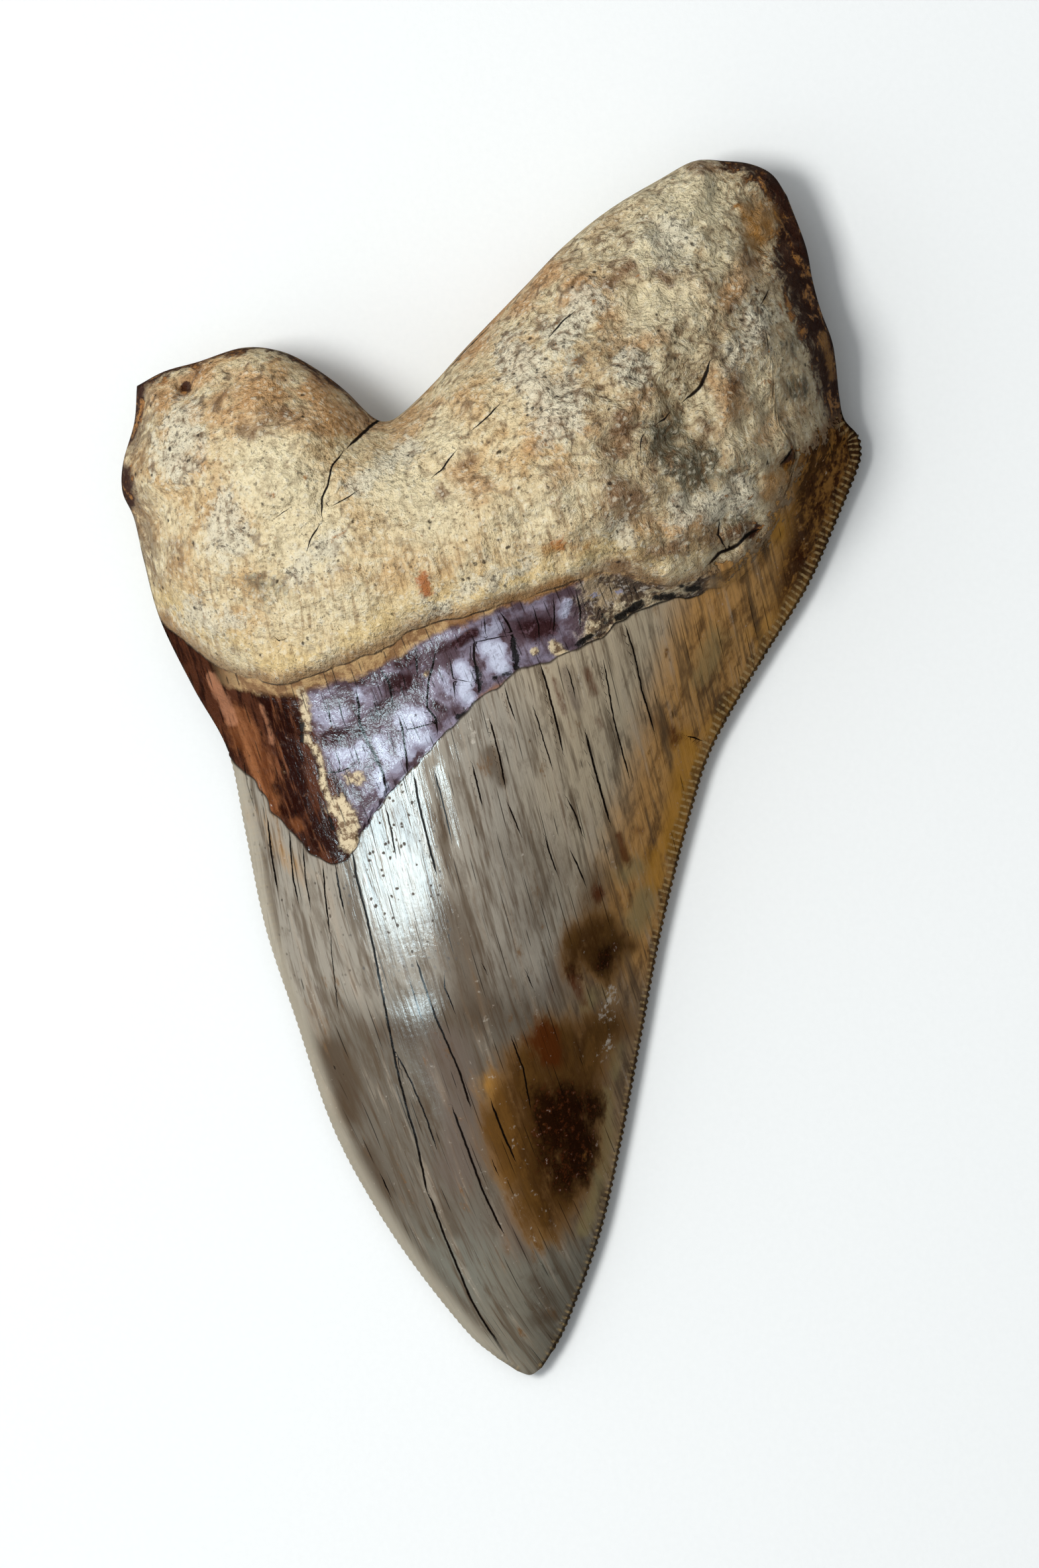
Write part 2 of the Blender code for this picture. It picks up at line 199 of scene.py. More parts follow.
# --- Cracks: strength, then points from top to bottom ------------------------------------
CRACKS = [
    (0.5, [(-29.6, 6.2), (-29.6, 3.7), (-29.2, 1.1)]),
    (0.8, [(-28.0, 0.1), (-28.1, -4.1), (-28.0, -7.7)]),
    (0.7, [(-25.9, -1.7), (-26.2, -6.4), (-26.0, -9.2)]),
    (0.6, [(-24.7, -3.3), (-24.9, -6.8), (-24.8, -10.0)]),
    (0.7, [(-22.9, -5.6), (-23.1, -8.6), (-23.2, -12.6)]),
    (0.4, [(-23.1, -12.6), (-23.3, -14.7), (-23.5, -21.0)]),
    (0.8, [(-21.6, -6.0), (-21.6, -8.1), (-21.4, -10.9)]),
    (1.0, [(-19.7, -4.5), (-19.6, -7.8), (-19.2, -10.9), (-18.9, -15.0), (-18.7, -18.9),
           (-18.5, -22.8), (-18.3, -27.4), (-17.8, -32.1), (-17.4, -34.7), (-17.1, -38.9),
           (-17.0, -40.8)]),
    (0.7, [(-15.6, -0.5), (-15.4, -2.9), (-15.3, -5.9)]),
    (1.0, [(-12.3, 2.4), (-12.2, -0.5), (-11.8, -4.8), (-11.4, -8.3)]),
    (0.7, [(-10.2, 2.6), (-9.7, -1.2), (-9.4, -5.1)]),
    (0.8, [(-6.2, 2.6), (-6.0, 0.5), (-5.8, -2.0)]),
    (0.8, [(-3.8, 6.9), (-3.5, 4.4), (-3.3, 2.2), (-3.2, -0.5)]),
    (0.7, [(-3.2, -1.9), (-2.7, -3.8), (-2.3, -5.5)]),
    (0.6, [(-1.8, 10.1), (-1.7, 8.5), (-1.2, 6.2)]),
    (0.6, [(0.8, 7.5), (1.5, 2.9), (1.9, 0.8)]),
    (0.9, [(2.1, 11.7), (2.5, 9.3), (2.9, 5.6), (3.2, 2.3)]),
    (0.6, [(4.7, 11.2), (5.0, 9.8), (5.2, 7.7)]),
    (0.9, [(5.7, 4.3), (6.1, 0.8), (6.5, -2.3), (7.0, -5.6)]),
    (0.7, [(8.6, 11.1), (8.8, 5.1), (9.2, 1.8), (9.6, -1.3)]),
    (0.8, [(11.3, 14.4), (11.8, 11.4), (12.1, 7.5), (12.8, 3.2)]),
    (0.7, [(2.9, -2.2), (3.6, -4.3), (4.0, -6.4)]),
    (0.7, [(0.1, -5.7), (0.4, -7.7), (0.9, -10.0)]),
    (0.7, [(2.5, -7.6), (3.1, -9.5), (3.6, -11.6)]),
    (0.9, [(-14.7, -16.6), (-14.3, -19.0), (-13.7, -22.2), (-13.0, -24.8), (-12.0, -28.3),
           (-11.3, -32.5)]),
    (0.6, [(-15.7, -18.5), (-15.3, -21.2), (-14.9, -23.3)]),
    (0.6, [(-12.1, -18.5), (-12.2, -19.8), (-11.5, -22.7)]),
    (0.7, [(-8.1, -17.8), (-7.7, -19.1)]),
    (0.6, [(-3.8, -19.2), (-3.2, -21.3)]),
    (0.7, [(-6.2, -25.8), (-5.4, -29.2), (-5.2, -33.6)]),
    (0.7, [(-18.1, -25.9), (-17.0, -29.1), (-16.0, -32.9), (-15.4, -36.3)]),
    (0.9, [(-9.2, -32.0), (-8.4, -35.5), (-7.5, -38.7)]),
    (1.0, [(-13.2, -32.2), (-12.5, -35.4), (-11.3, -41.1), (-10.3, -44.4), (-9.8, -45.9)]),
    (0.6, [(-9.9, -38.1), (-9.4, -40.0)]),
    (0.6, [(-21.6, -38.0), (-20.8, -40.7)]),
    (1.0, [(-17.0, -40.8), (-16.7, -41.4), (-15.9, -45.3), (-15.1, -48.4), (-14.2, -51.9),
           (-13.4, -54.2), (-12.2, -56.7), (-11.1, -59.2)]),
    (0.8, [(15.8, 2.4), (16.7, 2.1), (17.8, 1.5)]),
    (1.0, [(-16.9, 11.6), (-16.9, 10.0), (-17.1, 8.4), (-16.5, 6.2), (-15.9, 4.6),
           (-15.4, 3.0), (-15.3, 0.8)]),
    (0.6, [(-20.0, 10.6), (-20.0, 8.2)]), (0.5, [(-18.9, 11.2), (-18.7, 8.6)]),
    (0.6, [(-19.9, 5.8), (-19.6, 3.8)]), (0.5, [(-18.0, 6.2), (-17.6, 3.6)]),
    (0.5, [(-17.6, 3.8), (-16.2, 3.6)]), (0.5, [(-21.6, 3.8), (-20.0, 3.6), (-18.0, 4.0)]),
    (0.7, [(-14.2, 13.6), (-13.5, 12.0), (-13.4, 9.6)]), (0.5, [(-15.3, 10.6), (-15.0, 8.4)]),
    (0.8, [(-13.0, 8.4), (-12.8, 7.2), (-12.8, 4.1), (-12.9, 2.3)]),
    (0.5, [(-12.8, 6.9), (-11.2, 7.0), (-9.4, 7.2)]), (0.4, [(-14.9, 6.0), (-13.4, 6.4)]),
    (0.8, [(-10.3, 14.8), (-10.5, 12.1)]), (0.5, [(-12.0, 12.8), (-11.8, 10.6)]),
    (0.8, [(-8.3, 14.4), (-8.9, 12.8), (-9.5, 11.4), (-10.0, 8.9), (-9.2, 7.5), (-9.3, 6.0)]),
    (0.6, [(-7.0, 13.6), (-6.9, 11.6), (-7.0, 9.4)]), (0.4, [(-6.9, 11.4), (-5.2, 10.8)]),
    (0.9, [(-4.3, 15.2), (-4.5, 13.3), (-4.4, 11.5), (-4.5, 9.8)]),
    (0.4, [(-4.3, 14.8), (-2.8, 14.9), (-0.6, 15.0)]), (0.6, [(-2.9, 17.4), (-3.0, 15.4)]),
    (0.9, [(-1.2, 17.4), (-0.5, 16.0), (-0.2, 14.4), (-0.3, 12.6)]),
    (0.5, [(2.2, 17.6), (2.5, 15.4), (2.3, 13.8)]), (0.6, [(4.4, 18.2), (4.2, 16.0), (3.8, 14.4)]),
    (0.6, [(6.8, 18.6), (6.9, 16.4), (6.6, 14.6)]), (0.5, [(10.2, 19.0), (10.4, 17.2)]),
    (0.5, [(12.6, 18.6), (13.0, 17.0)]),
]
ROOT_CRACKS = [
    (1.0, [(-10.3, 39.3), (-11.8, 38.3), (-13.2, 37.2), (-14.3, 36.4)]),
    (0.55, [(-14.8, 36.0), (-16.2, 34.6), (-16.7, 33.0), (-17.6, 31.5), (-17.9, 29.6)]),
    (0.45, [(-18.1, 29.0), (-19.3, 27.6), (-19.9, 26.4)]),
    (0.4, [(1.9, 38.7), (-0.1, 37.1), (-1.6, 36.2)]),
    (0.45, [(-3.3, 34.5), (-5.2, 32.6), (-6.3, 32.0)]),
    (0.35, [(-13.8, 31.8), (-15.5, 31.0), (-16.8, 30.6)]),
    (1.0, [(23.6, 39.9), (23.0, 38.6), (22.3, 37.5), (21.2, 36.7), (20.4, 36.3)]),
    (0.6, [(18.8, 35.3), (18.1, 34.6), (17.2, 34.2)]),
    (0.3, [(16.2, 33.8), (15.4, 32.8), (15.2, 31.2)]),
    (0.6, [(30.7, 46.5), (30.2, 45.7), (29.7, 45.1)]),
    (0.9, [(30.9, 30.2), (30.2, 29.2), (29.4, 28.6)]),
    (1.0, [(20.6, 19.4), (21.9, 20.4), (23.8, 20.9), (25.0, 21.9), (26.4, 22.3)]),
    (0.7, [(22.6, 20.8), (22.0, 22.2), (22.3, 23.6)]),
    (0.5, [(7.6, 44.6), (9.4, 46.2), (10.6, 46.9)]),
    (0.3, [(-3.6, 42.6), (-1.0, 44.8), (2.0, 47.0)]),
    (0.35, [(-24.6, 18.4), (-24.0, 17.7), (-23.2, 17.9)]),
    (0.35, [(-21.0, 31.0), (-22.6, 30.2)]),
]
# How far from a crack its mark starts and stops fading.
CRACK_REACH = (0.30, 0.55)
# A crack's strength falls to this share at its ends, over this length.
CRACK_TIP = 0.25
CRACK_END = 1.2
ROOT_CRACK_REACH = (0.45, 0.8)
ROOT_CRACK_DEPTH = 0.35
ROOT_CRACK_WIDTH = 0.5

# Where, across the tooth, the grain starts to follow the drift, and the lean of that line.
GRAIN_BENDING = (-30.0, -14.0)
GRAIN_LEAN = 0.2
# Sideways drift of the enamel's grain: place on Y, drift on X.
GRAIN_DRIFT = [
    (-61.0, -14.6), (-55.0, -11.4), (-50.0, -9.4), (-40.0, -6.5), (-30.0, -4.3),
    (-20.0, -2.5), (-10.0, -1.1), (0.0, 0.0), (30.0, 3.0), (61.0, 6.0),
]

# --- Patches of colour: half width, strength, then the middle line of the patch ------------
PATCHES = {
    # On the root.
    "pale": [
        (3.0, 1.1, [(-22.8, 35.4), (-20.4, 31.4), (-19.8, 27.0)]),
        (3.2, 0.8, [(-9.8, 31.8), (-6.4, 28.4)]),
        (2.8, 1.0, [(20.2, 52.4), (24.4, 56.4)]), (2.2, 0.8, [(17.6, 46.0), (21.4, 47.2)]),
        (2.6, 0.6, [(-22.0, 20.6), (-16.0, 20.4)]), (2.4, 0.7, [(-4.2, 35.4)]),
        (2.2, 0.6, [(2.0, 26.0), (8.0, 28.0)]), (2.0, 0.7, [(26.0, 51.0)]),
    ],
    "rust": [(0.6, 1.2, [(-8.5, 21.9), (-8.4, 20.7)]), (0.8, 0.9, [(5.6, 23.4)])],
    "porous": [
        (2.0, 1.0, [(-30.8, 41.3), (-32.0, 37.6)]), (1.8, 1.0, [(-27.7, 31.5), (-27.8, 28.3)]),
        (1.4, 0.8, [(-21.0, 24.6), (-17.6, 26.6)]), (1.2, 0.8, [(-14.0, 32.3), (-8.0, 35.6)]),
        (2.6, 1.2, [(7.7, 37.7)]), (2.0, 1.0, [(5.7, 39.8), (3.9, 43.3)]),
        (1.5, 1.0, [(8.7, 44.5), (11.9, 47.7)]), (1.7, 1.1, [(15.6, 40.1)]),
        (2.1, 1.1, [(21.6, 53.0)]), (1.5, 0.9, [(27.0, 40.5), (29.3, 43.9)]),
        (1.4, 1.0, [(18.4, 25.2), (22.1, 25.1), (25.0, 26.1)]), (1.2, 0.9, [(12.6, 23.7)]),
        (1.4, 0.8, [(-32.8, 21.8), (-29.6, 20.4)]), (1.3, 0.6, [(-10.0, 18.4), (2.0, 21.6)]),
    ],
    "tan": [
        (3.2, 0.75, [(-29.0, 39.6), (-24.6, 42.0)]), (1.3, 0.9, [(8.6, 47.6), (11.4, 49.4)]),
        (1.2, 0.9, [(16.4, 42.6), (19.0, 43.4)]), (1.4, 0.9, [(26.4, 46.0), (28.2, 49.6)]),
        (1.2, 0.9, [(4.6, 34.0), (7.4, 35.4)]), (1.1, 0.9, [(15.2, 36.8), (16.8, 38.4)]),
        (1.2, 0.9, [(27.6, 31.4), (29.4, 33.2)]), (1.3, 0.8, [(6.2, 29.4), (9.4, 30.4)]),
        (2.2, 1.0, [(-1.8, 45.1), (7.4, 51.6)]), (2.4, 0.9, [(22.1, 48.1)]),
        (1.8, 0.9, [(14.8, 45.5)]), (1.7, 1.1, [(-18.5, 40.2), (-12.3, 39.0)]),
        (1.6, 0.9, [(-3.9, 32.5), (-1.5, 29.9)]), (1.4, 1.0, [(-33.0, 44.6), (-28.1, 45.9)]),
        (2.2, 0.8, [(-24.0, 44.4), (-17.5, 43.0)]), (2.4, 0.6, [(-9.0, 36.0), (-4.0, 40.0)]),
        (1.6, 0.8, [(25.4, 34.6), (24.0, 37.6)]), (1.8, 0.8, [(9.6, 33.6)]),
        (1.8, 0.7, [(14.0, 22.4), (20.0, 23.4)]),
    ],
    "earth": [
        (0.7, 1.0, [(19.6, 49.8), (20.6, 48.6)]), (0.8, 1.0, [(26.2, 38.2), (25.4, 36.4)]),
        (0.6, 1.0, [(10.6, 36.4), (11.4, 35.2)]), (0.8, 0.9, [(22.0, 33.2), (23.4, 32.4)]),
        (0.6, 0.9, [(-27.4, 43.2), (-25.8, 43.8)]), (0.7, 0.9, [(-33.4, 29.4), (-33.0, 27.4)]),
        (0.7, 0.9, [(28.4, 42.6), (29.6, 41.2)]), (0.9, 0.8, [(16.4, 28.0), (15.6, 29.6)]),
        (1.4, 1.1, [(13.9, 35.2), (12.7, 32.2)]), (0.9, 1.1, [(16.9, 50.7), (14.4, 49.2)]),
        (1.3, 1.0, [(-23.4, 39.4), (-20.6, 40.6)]), (0.8, 1.0, [(-5.3, 30.4)]),
        (0.7, 1.0, [(-3.1, 32.7), (-1.6, 33.4)]), (1.1, 0.7, [(24.3, 41.4), (27.6, 46.4)]),
        (1.1, 1.1, [(25.3, 22.1), (20.7, 21.9), (17.0, 21.4), (11.0, 20.8)]),
        (0.8, 1.0, [(-13.4, 42.0), (-17.7, 45.6)]), (0.9, 1.0, [(24.6, 60.4), (27.4, 59.8)]),
        (0.8, 0.8, [(-30.6, 45.0), (-28.4, 46.6)]), (0.8, 0.7, [(-16.6, 24.2)]),
        (0.9, 0.8, [(29.9, 28.8)]), (2.2, 1.1, [(12.4, 27.4), (13.6, 25.6)]),
        (1.2, 0.7, [(30.4, 47.6), (28.6, 50.4)]), (1.0, 0.7, [(32.0, 34.0), (31.0, 30.6)]),
    ],
    "ash": [
        (2.9, 1.2, [(20.8, 29.4)]), (2.0, 1.0, [(17.5, 31.8), (18.2, 33.4)]),
        (2.0, 0.9, [(24.4, 28.9)]), (1.3, 1.1, [(32.3, 36.1)]), (1.3, 0.9, [(32.2, 40.7)]),
        (1.7, 1.1, [(24.5, 23.1)]), (2.2, 0.6, [(10.2, 41.8), (14.0, 43.0)]),
        (1.6, 0.6, [(-26.4, 23.8), (-23.0, 22.4)]),
    ],
    "soot": [
        (0.5, 1.4, [(-30.0, 45.1)]), (0.9, 1.0, [(-35.0, 46.4), (-32.4, 47.4), (-29.0, 48.0)]),
        (0.7, 0.8, [(-28.0, 48.2), (-21.2, 48.2), (-17.7, 46.1), (-13.4, 42.4), (-11.2, 39.8)]),
        (0.8, 1.1, [(-37.9, 37.2), (-37.5, 34.4)]), (0.35, 1.0, [(25.3, 21.8), (26.2, 22.6)]),
        (0.4, 0.8, [(-8.0, 39.9), (-1.0, 45.6), (6.1, 51.2), (10.6, 54.6)]),
        (0.4, 1.2, [(29.8, 28.5), (30.6, 29.3)]),
    ],
    "ochre": [
        (1.6, 1.2, [(31.0, 54.4), (30.4, 52.6)]), (1.2, 1.0, [(28.0, 25.6), (29.2, 27.4)]),
        (0.5, 0.9, [(35.9, 41.4), (36.1, 37.0)]), (0.8, 0.8, [(32.6, 33.6)]),
        (0.9, 0.8, [(4.6, 23.2), (8.4, 23.0)]), (0.6, 1.0, [(-5.9, 17.0), (-4.0, 17.6)]),
        (0.6, 1.0, [(-0.6, 18.4), (2.4, 19.0), (6.4, 19.5)]),
        (0.5, 0.9, [(-4.2, 8.9), (-2.8, 9.7), (-0.4, 10.4)]),
    ],
    # On the neck band.
    "orange": [
        (1.1, 1.2, [(-29.5, 10.4), (-28.4, 7.3), (-27.8, 5.2), (-27.4, 2.5), (-27.2, 1.0)]),
        (0.5, 1.1, [(-25.4, -0.3), (-24.8, -1.4)]),
    ],
    "blush": [
        (0.5, 1.1, [(-31.6, 15.1), (-30.8, 12.9), (-30.2, 10.4)]),
        (0.3, 0.9, [(-26.8, 11.4), (-26.4, 9.6), (-26.3, 7.6)]),
    ],
    "umber": [
        (1.3, 1.2, [(-25.1, 11.5), (-24.6, 8.4), (-24.8, 5.8), (-25.0, 2.1), (-25.2, 0.7)]),
        (1.1, 0.9, [(-29.1, 16.3), (-28.0, 14.0), (-26.4, 13.0)]),
        (0.8, 1.0, [(-23.4, -0.8), (-22.6, -3.8)]),
    ],
    # Pale chalky chips and strips; the small patch at (1.7, 13.0) is a painted glint.
    "chalk": [
        (0.5, 0.85, [(-22.4, 12.4), (-22.5, 9.9), (-22.7, 7.3)]),
        (0.35, 0.8, [(-22.6, 7.2), (-21.7, 6.0), (-21.7, 4.3), (-21.5, 1.7), (-21.2, 0.4)]),
        (0.9, 1.3, [(-20.5, 0.0), (-19.6, -1.2), (-19.9, -3.6)]),
        (0.6, 0.8, [(-19.0, 2.7), (-17.7, 2.6)]), (0.35, 1.1, [(-9.5, 12.4)]),
        (0.5, 1.1, [(3.8, 13.3), (4.8, 12.1)]), (0.3, 1.3, [(1.7, 13.0)]),
        (0.9, 0.7, [(7.8, 14.6), (12.0, 16.6), (18.4, 17.4)]),
    ],
    # Painted reflection: the gleam patches paint the sky's pale reflection on the band's glossy plates.
    "gleam": [
        (0.8, 0.8, [(-20.9, 9.4), (-19.4, 9.4)]), (0.7, 0.8, [(-18.3, 9.9)]),
        (0.5, 0.9, [(-16.6, 10.9), (-17.0, 12.2)]), (0.7, 0.8, [(-21.0, 5.2), (-20.6, 4.2)]),
        (0.9, 1.0, [(-19.4, 5.2), (-17.2, 5.4)]), (0.7, 1.0, [(-15.6, 6.3), (-14.9, 4.4)]),
        (0.6, 1.1, [(-15.7, 2.8), (-15.7, 0.9)]), (0.6, 0.9, [(-14.0, 3.4)]),
        (0.9, 1.2, [(-12.4, 8.0), (-10.9, 8.0)]), (0.9, 1.2, [(-11.7, 6.2), (-10.6, 5.7)]),
        (0.6, 1.0, [(-13.0, 5.0), (-12.2, 4.2)]), (0.5, 0.8, [(-9.7, 13.0)]),
        (0.75, 1.3, [(-6.0, 12.4), (-5.4, 11.4), (-6.0, 10.0), (-5.7, 9.3)]),
        (0.5, 0.8, [(-8.0, 12.0), (-7.6, 10.2)]), (0.8, 0.9, [(-2.9, 15.4), (-1.8, 16.0)]),
        (0.9, 1.3, [(-3.0, 14.0), (-2.0, 13.8), (-2.3, 12.4), (-1.8, 11.9)]),
        (0.5, 1.0, [(5.2, 16.4), (5.8, 17.4)]), (0.6, 0.6, [(8.6, 17.8)]),
        (0.5, 0.6, [(11.0, 18.0), (13.4, 18.2)]),
    ],
    "plum": [
        (0.7, 1.1, [(-20.8, 7.1), (-18.7, 7.3), (-16.8, 7.6)]),
        (0.8, 1.1, [(-15.4, 8.6), (-13.6, 9.8)]), (1.0, 1.1, [(-13.2, 11.7), (-11.0, 11.7)]),
        (0.8, 1.0, [(-12.2, 13.8), (-10.4, 14.0)]), (0.8, 0.8, [(-18.4, 12.2), (-14.6, 12.9)]),
        (0.5, 1.0, [(-8.6, 14.3), (-6.0, 14.9), (-4.1, 15.8)]),
        (1.2, 1.1, [(0.9, 15.4), (3.2, 15.4)]), (0.5, 0.9, [(-9.2, 9.0), (-8.2, 8.2)]),
        (0.4, 1.1, [(-20.4, 2.8), (-19.6, 1.2)]), (0.8, 0.8, [(7.0, 16.4), (10.0, 16.8)]),
    ],
    # Dark gaps between the plates, and painted shade under the plates' lower edges.
    "gaps": [
        (0.26, 1.1, [(-7.0, 7.4), (-5.8, 7.7), (-4.9, 8.6)]), (0.2, 1.1, [(-4.4, 12.3), (-4.4, 9.9)]),
        (0.22, 1.1, [(-0.3, 14.6), (-0.3, 11.2)]), (0.2, 1.0, [(-22.9, 9.2), (-23.3, 7.2)]),
        (0.2, 1.0, [(-21.5, -0.9), (-21.3, -2.2)]), (0.3, 1.1, [(10.6, 15.2), (13.2, 16.4)]),
        (0.3, 1.0, [(14.8, 16.8), (16.6, 16.6)]), (0.3, 1.0, [(18.2, 17.2), (19.4, 17.2)]),
        (0.22, 1.0, [(6.2, 13.0), (7.6, 13.8)]), (0.2, 0.9, [(-2.8, 10.8), (-1.2, 11.1)]),
        (0.22, 0.9, [(16.8, 18.4), (17.6, 17.6)]), (0.2, 0.9, [(8.9, 16.4), (9.3, 14.9)]),
    ],
    # On the enamel.
    "amber": [
        (1.0, 0.38, [(-29.4, 0.6), (-27.6, -3.4), (-24.6, -6.8)]),
        (1.1, 1.2, [(15.8, 1.8), (16.2, 0.4), (15.2, -1.7), (14.4, -4.4), (13.4, -7.0), (12.7, -8.8)]),
        (1.0, 1.1, [(11.1, -9.5), (10.6, -12.3)]),
        (1.3, 1.0, [(28.5, 21.9)]), (1.2, 0.7, [(20.8, 5.0), (18.6, 2.6)]),
        (1.4, 0.6, [(25.0, 11.6), (28.4, 15.2)]), (1.2, 0.6, [(3.4, -27.0), (2.2, -30.0)]),
        (1.4, 0.9, [(-8.8, -30.6), (-7.6, -34.0), (-8.2, -39.6)]),
        (1.2, 0.7, [(-6.6, -43.0), (-6.0, -46.4)]),
    ],
    "russet": [
        (1.3, 1.2, [(-3.0, -26.2), (-2.5, -28.2)]), (1.8, 1.2, [(37.2, 29.9), (37.4, 31.6)]),
        (1.5, 1.0, [(33.4, 24.3), (35.4, 27.4)]), (1.2, 1.0, [(30.4, 19.2)]),
        (0.5, 1.0, [(6.7, 10.4), (7.3, 8.0)]), (0.35, 0.8, [(7.2, 5.4), (7.4, 4.4)]),
        (0.7, 0.9, [(4.8, -12.5)]), (0.45, 1.0, [(7.7, -6.9), (8.0, -9.3)]),
        (0.3, 0.9, [(8.0, -13.2)]), (0.7, 0.6, [(9.6, -6.6)]), (0.5, 0.8, [(0.9, -20.6), (1.6, -23.4)]),
        (0.9, 0.7, [(13.3, 4.5), (14.9, 2.4)]), (0.4, 0.7, [(3.4, 9.6), (3.9, 6.4)]),
    ],
    "horn": [
        (1.2, 1.0, [(8.4, -15.8), (9.3, -13.8)]), (1.1, 0.8, [(7.6, -10.8), (9.2, -10.4)]),
        (0.7, 1.0, [(2.7, -33.0), (1.9, -38.4), (0.3, -43.0), (-1.6, -46.8)]),
        (0.9, 0.7, [(3.2, -22.6), (1.8, -23.8)]), (1.4, 0.7, [(18.6, 8.0), (20.6, 11.6)]),
        (0.8, 0.7, [(4.6, -28.6), (4.0, -31.4)]),
    ],
    "mauve": [
        (2.2, 1.0, [(-12.6, -26.0), (-12.0, -32.0), (-13.2, -38.0)]),
        (1.0, 0.8, [(-14.0, -1.2), (-13.6, -4.0)]), (2.0, 0.7, [(-8.0, -47.0), (-10.0, -44.6)]),
        (0.6, 0.9, [(4.6, 10.6), (5.2, 7.0)]), (1.6, 0.6, [(2.0, -17.0), (-1.4, -21.0)]),
    ],
    "smoke": [
        (1.4, 1.1, [(-24.8, -25.0), (-23.8, -28.5), (-24.4, -31.4)]),
        (1.1, 0.8, [(-22.6, -36.0), (-21.4, -40.0)]), (1.2, 0.8, [(-18.8, -23.2), (-16.2, -24.2)]),
        (2.9, 0.6, [(-2.4, -7.0), (0.2, -9.6), (-2.0, -13.4)]),
        (2.4, 1.0, [(-10.4, -13.0), (-9.8, -17.4), (-9.4, -22.0)]),
        (0.8, 0.8, [(-15.4, -42.6), (-14.8, -45.0)]), (1.6, 0.6, [(-6.0, -17.6), (-4.4, -22.4)]),
        (0.8, 0.8, [(-7.3, -51.2), (-6.3, -53.6)]), (0.8, 0.8, [(-7.8, -55.3), (-5.9, -55.3)]),
        (0.8, 0.7, [(-18.4, -47.3), (-16.0, -51.6), (-13.2, -55.8)]),
        (1.8, 0.9, [(4.6, -11.2), (4.0, -14.2)]), (0.7, 1.0, [(-4.1, 3.4), (-3.5, 0.4)]),
    ],
    # Pale milky enamel; the thin patch beside the crack near x -18.7 is a painted highlight on the
    # crack's lit edge.
    "milk": [
        (0.7, 0.55, [(4.6, -22.8), (3.9, -25.6)]), (0.6, 0.5, [(3.8, -27.6), (3.2, -29.0)]),
        (0.22, 1.0, [(-18.9, -15.4), (-18.5, -19.4)]),
        (0.5, 0.7, [(-6.0, 6.2), (-5.4, 4.6)]),
    ],
}
# Larger patches: softness of the border, strength, then the outline.
AREAS = {
    "scorch": [
        (1.8, 1.0, [(27.0, 13.6), (31.6, 17.0), (36.0, 23.0), (39.0, 27.5), (39.0, 31.5), (37.0, 34.0),
                    (34.0, 34.0), (31.6, 30.6), (30.4, 26.0), (29.4, 21.6), (27.6, 17.4)]),
    ],
    "soot": [
        (2.0, 1.1, [(26.0, 63.0), (27.6, 59.8), (30.2, 58.4), (32.2, 55.4), (32.6, 53.0),
                    (31.4, 50.6), (32.0, 46.7), (33.3, 42.0), (34.2, 35.9), (35.2, 32.0),
                    (41.0, 32.0), (41.0, 63.0)]),
        (0.6, 1.2, [(-38.8, 38.6), (-36.0, 40.6), (-34.9, 43.2), (-33.9, 46.4), (-34.0, 49.0),
                    (-40.0, 49.0)]),
    ],
    "stain": [
        (2.4, 1.05, [(-7.1, -27.4), (-4.9, -26.6), (-3.4, -25.0), (-2.0, -24.6), (0.6, -25.3),
                    (2.9, -24.6), (5.6, -25.0), (6.2, -27.0), (3.6, -28.8), (2.6, -31.6),
                    (2.1, -34.1), (1.4, -36.6), (0.9, -39.1), (-0.1, -41.5), (-2.1, -44.5),
                    (-3.6, -46.2), (-5.4, -47.3), (-6.9, -46.4), (-7.8, -44.4), (-8.2, -41.4),
                    (-9.8, -39.5), (-10.2, -36.2), (-10.1, -33.0), (-9.0, -31.0), (-7.7, -29.3)]),
        (1.9, 1.15, [(4.4, -14.6), (2.4, -15.1), (1.1, -16.0), (0.4, -16.8), (0.0, -18.3),
                    (0.3, -20.1), (1.2, -20.6), (2.2, -19.8), (3.1, -20.7), (4.4, -21.8),
                    (5.5, -20.9), (6.3, -19.3), (7.9, -18.5), (6.8, -17.0), (6.0, -15.2)]),
    ],
    "core": [
        (2.8, 1.15, [(-4.9, -31.6), (-2.5, -31.2), (0.2, -32.0), (2.0, -33.3), (1.5, -36.6),
                    (0.7, -39.0), (-0.4, -41.5), (-2.4, -42.8), (-4.6, -42.6), (-5.4, -40.1),
                    (-5.1, -37.0), (-5.2, -34.3)]),
        (1.2, 0.8, [(0.2, -18.8), (1.8, -18.8), (1.8, -21.0), (0.3, -21.0)]),
        (1.6, 0.8, [(2.8, -17.4), (6.4, -17.4), (5.8, -21.0), (3.0, -21.0)]),
    ],
}

# --- Camera and light -------------------------------------------------------------------
# Part of the table in view, in millimetres, and its turn in degrees.
VIEW_HEIGHT = 162.7
VIEW_CENTRE = (-1.7, -0.2)
VIEW_TURN = -8.0
CAMERA_HEIGHT = 1500.0
CAMERA_CLIP = (0.05, 20.0)
SENSOR = 36.0
LIT_PLACE = (-12.0, -5.0, 17.0)
# Softboxes: direction, way its first side runs, distance, both sides in metres,
# brightness, colour, whether it lights the scene, and whether it glints.
SOFTBOXES = {
    "window": (
        (-0.79, -0.19, 0.58), (0.60, -0.30, 0.70), 0.9, 0.36, 0.22, 29.5, (0.72, 0.92, 1.0),
        False, True,
    ),
    "key": (
        (-0.43, 0.12, 0.88), (0.0, 1.0, 0.0), 0.62, 0.20, 0.20, 26.5, (1.0, 0.985, 0.96),
        True, False,
    ),
    "fill": (
        (0.25, 0.10, 0.96), (0.0, 1.0, 0.0), 1.2, 1.60, 1.60, 0.40, (1.0, 1.0, 1.0),
        True, False,
    ),
}
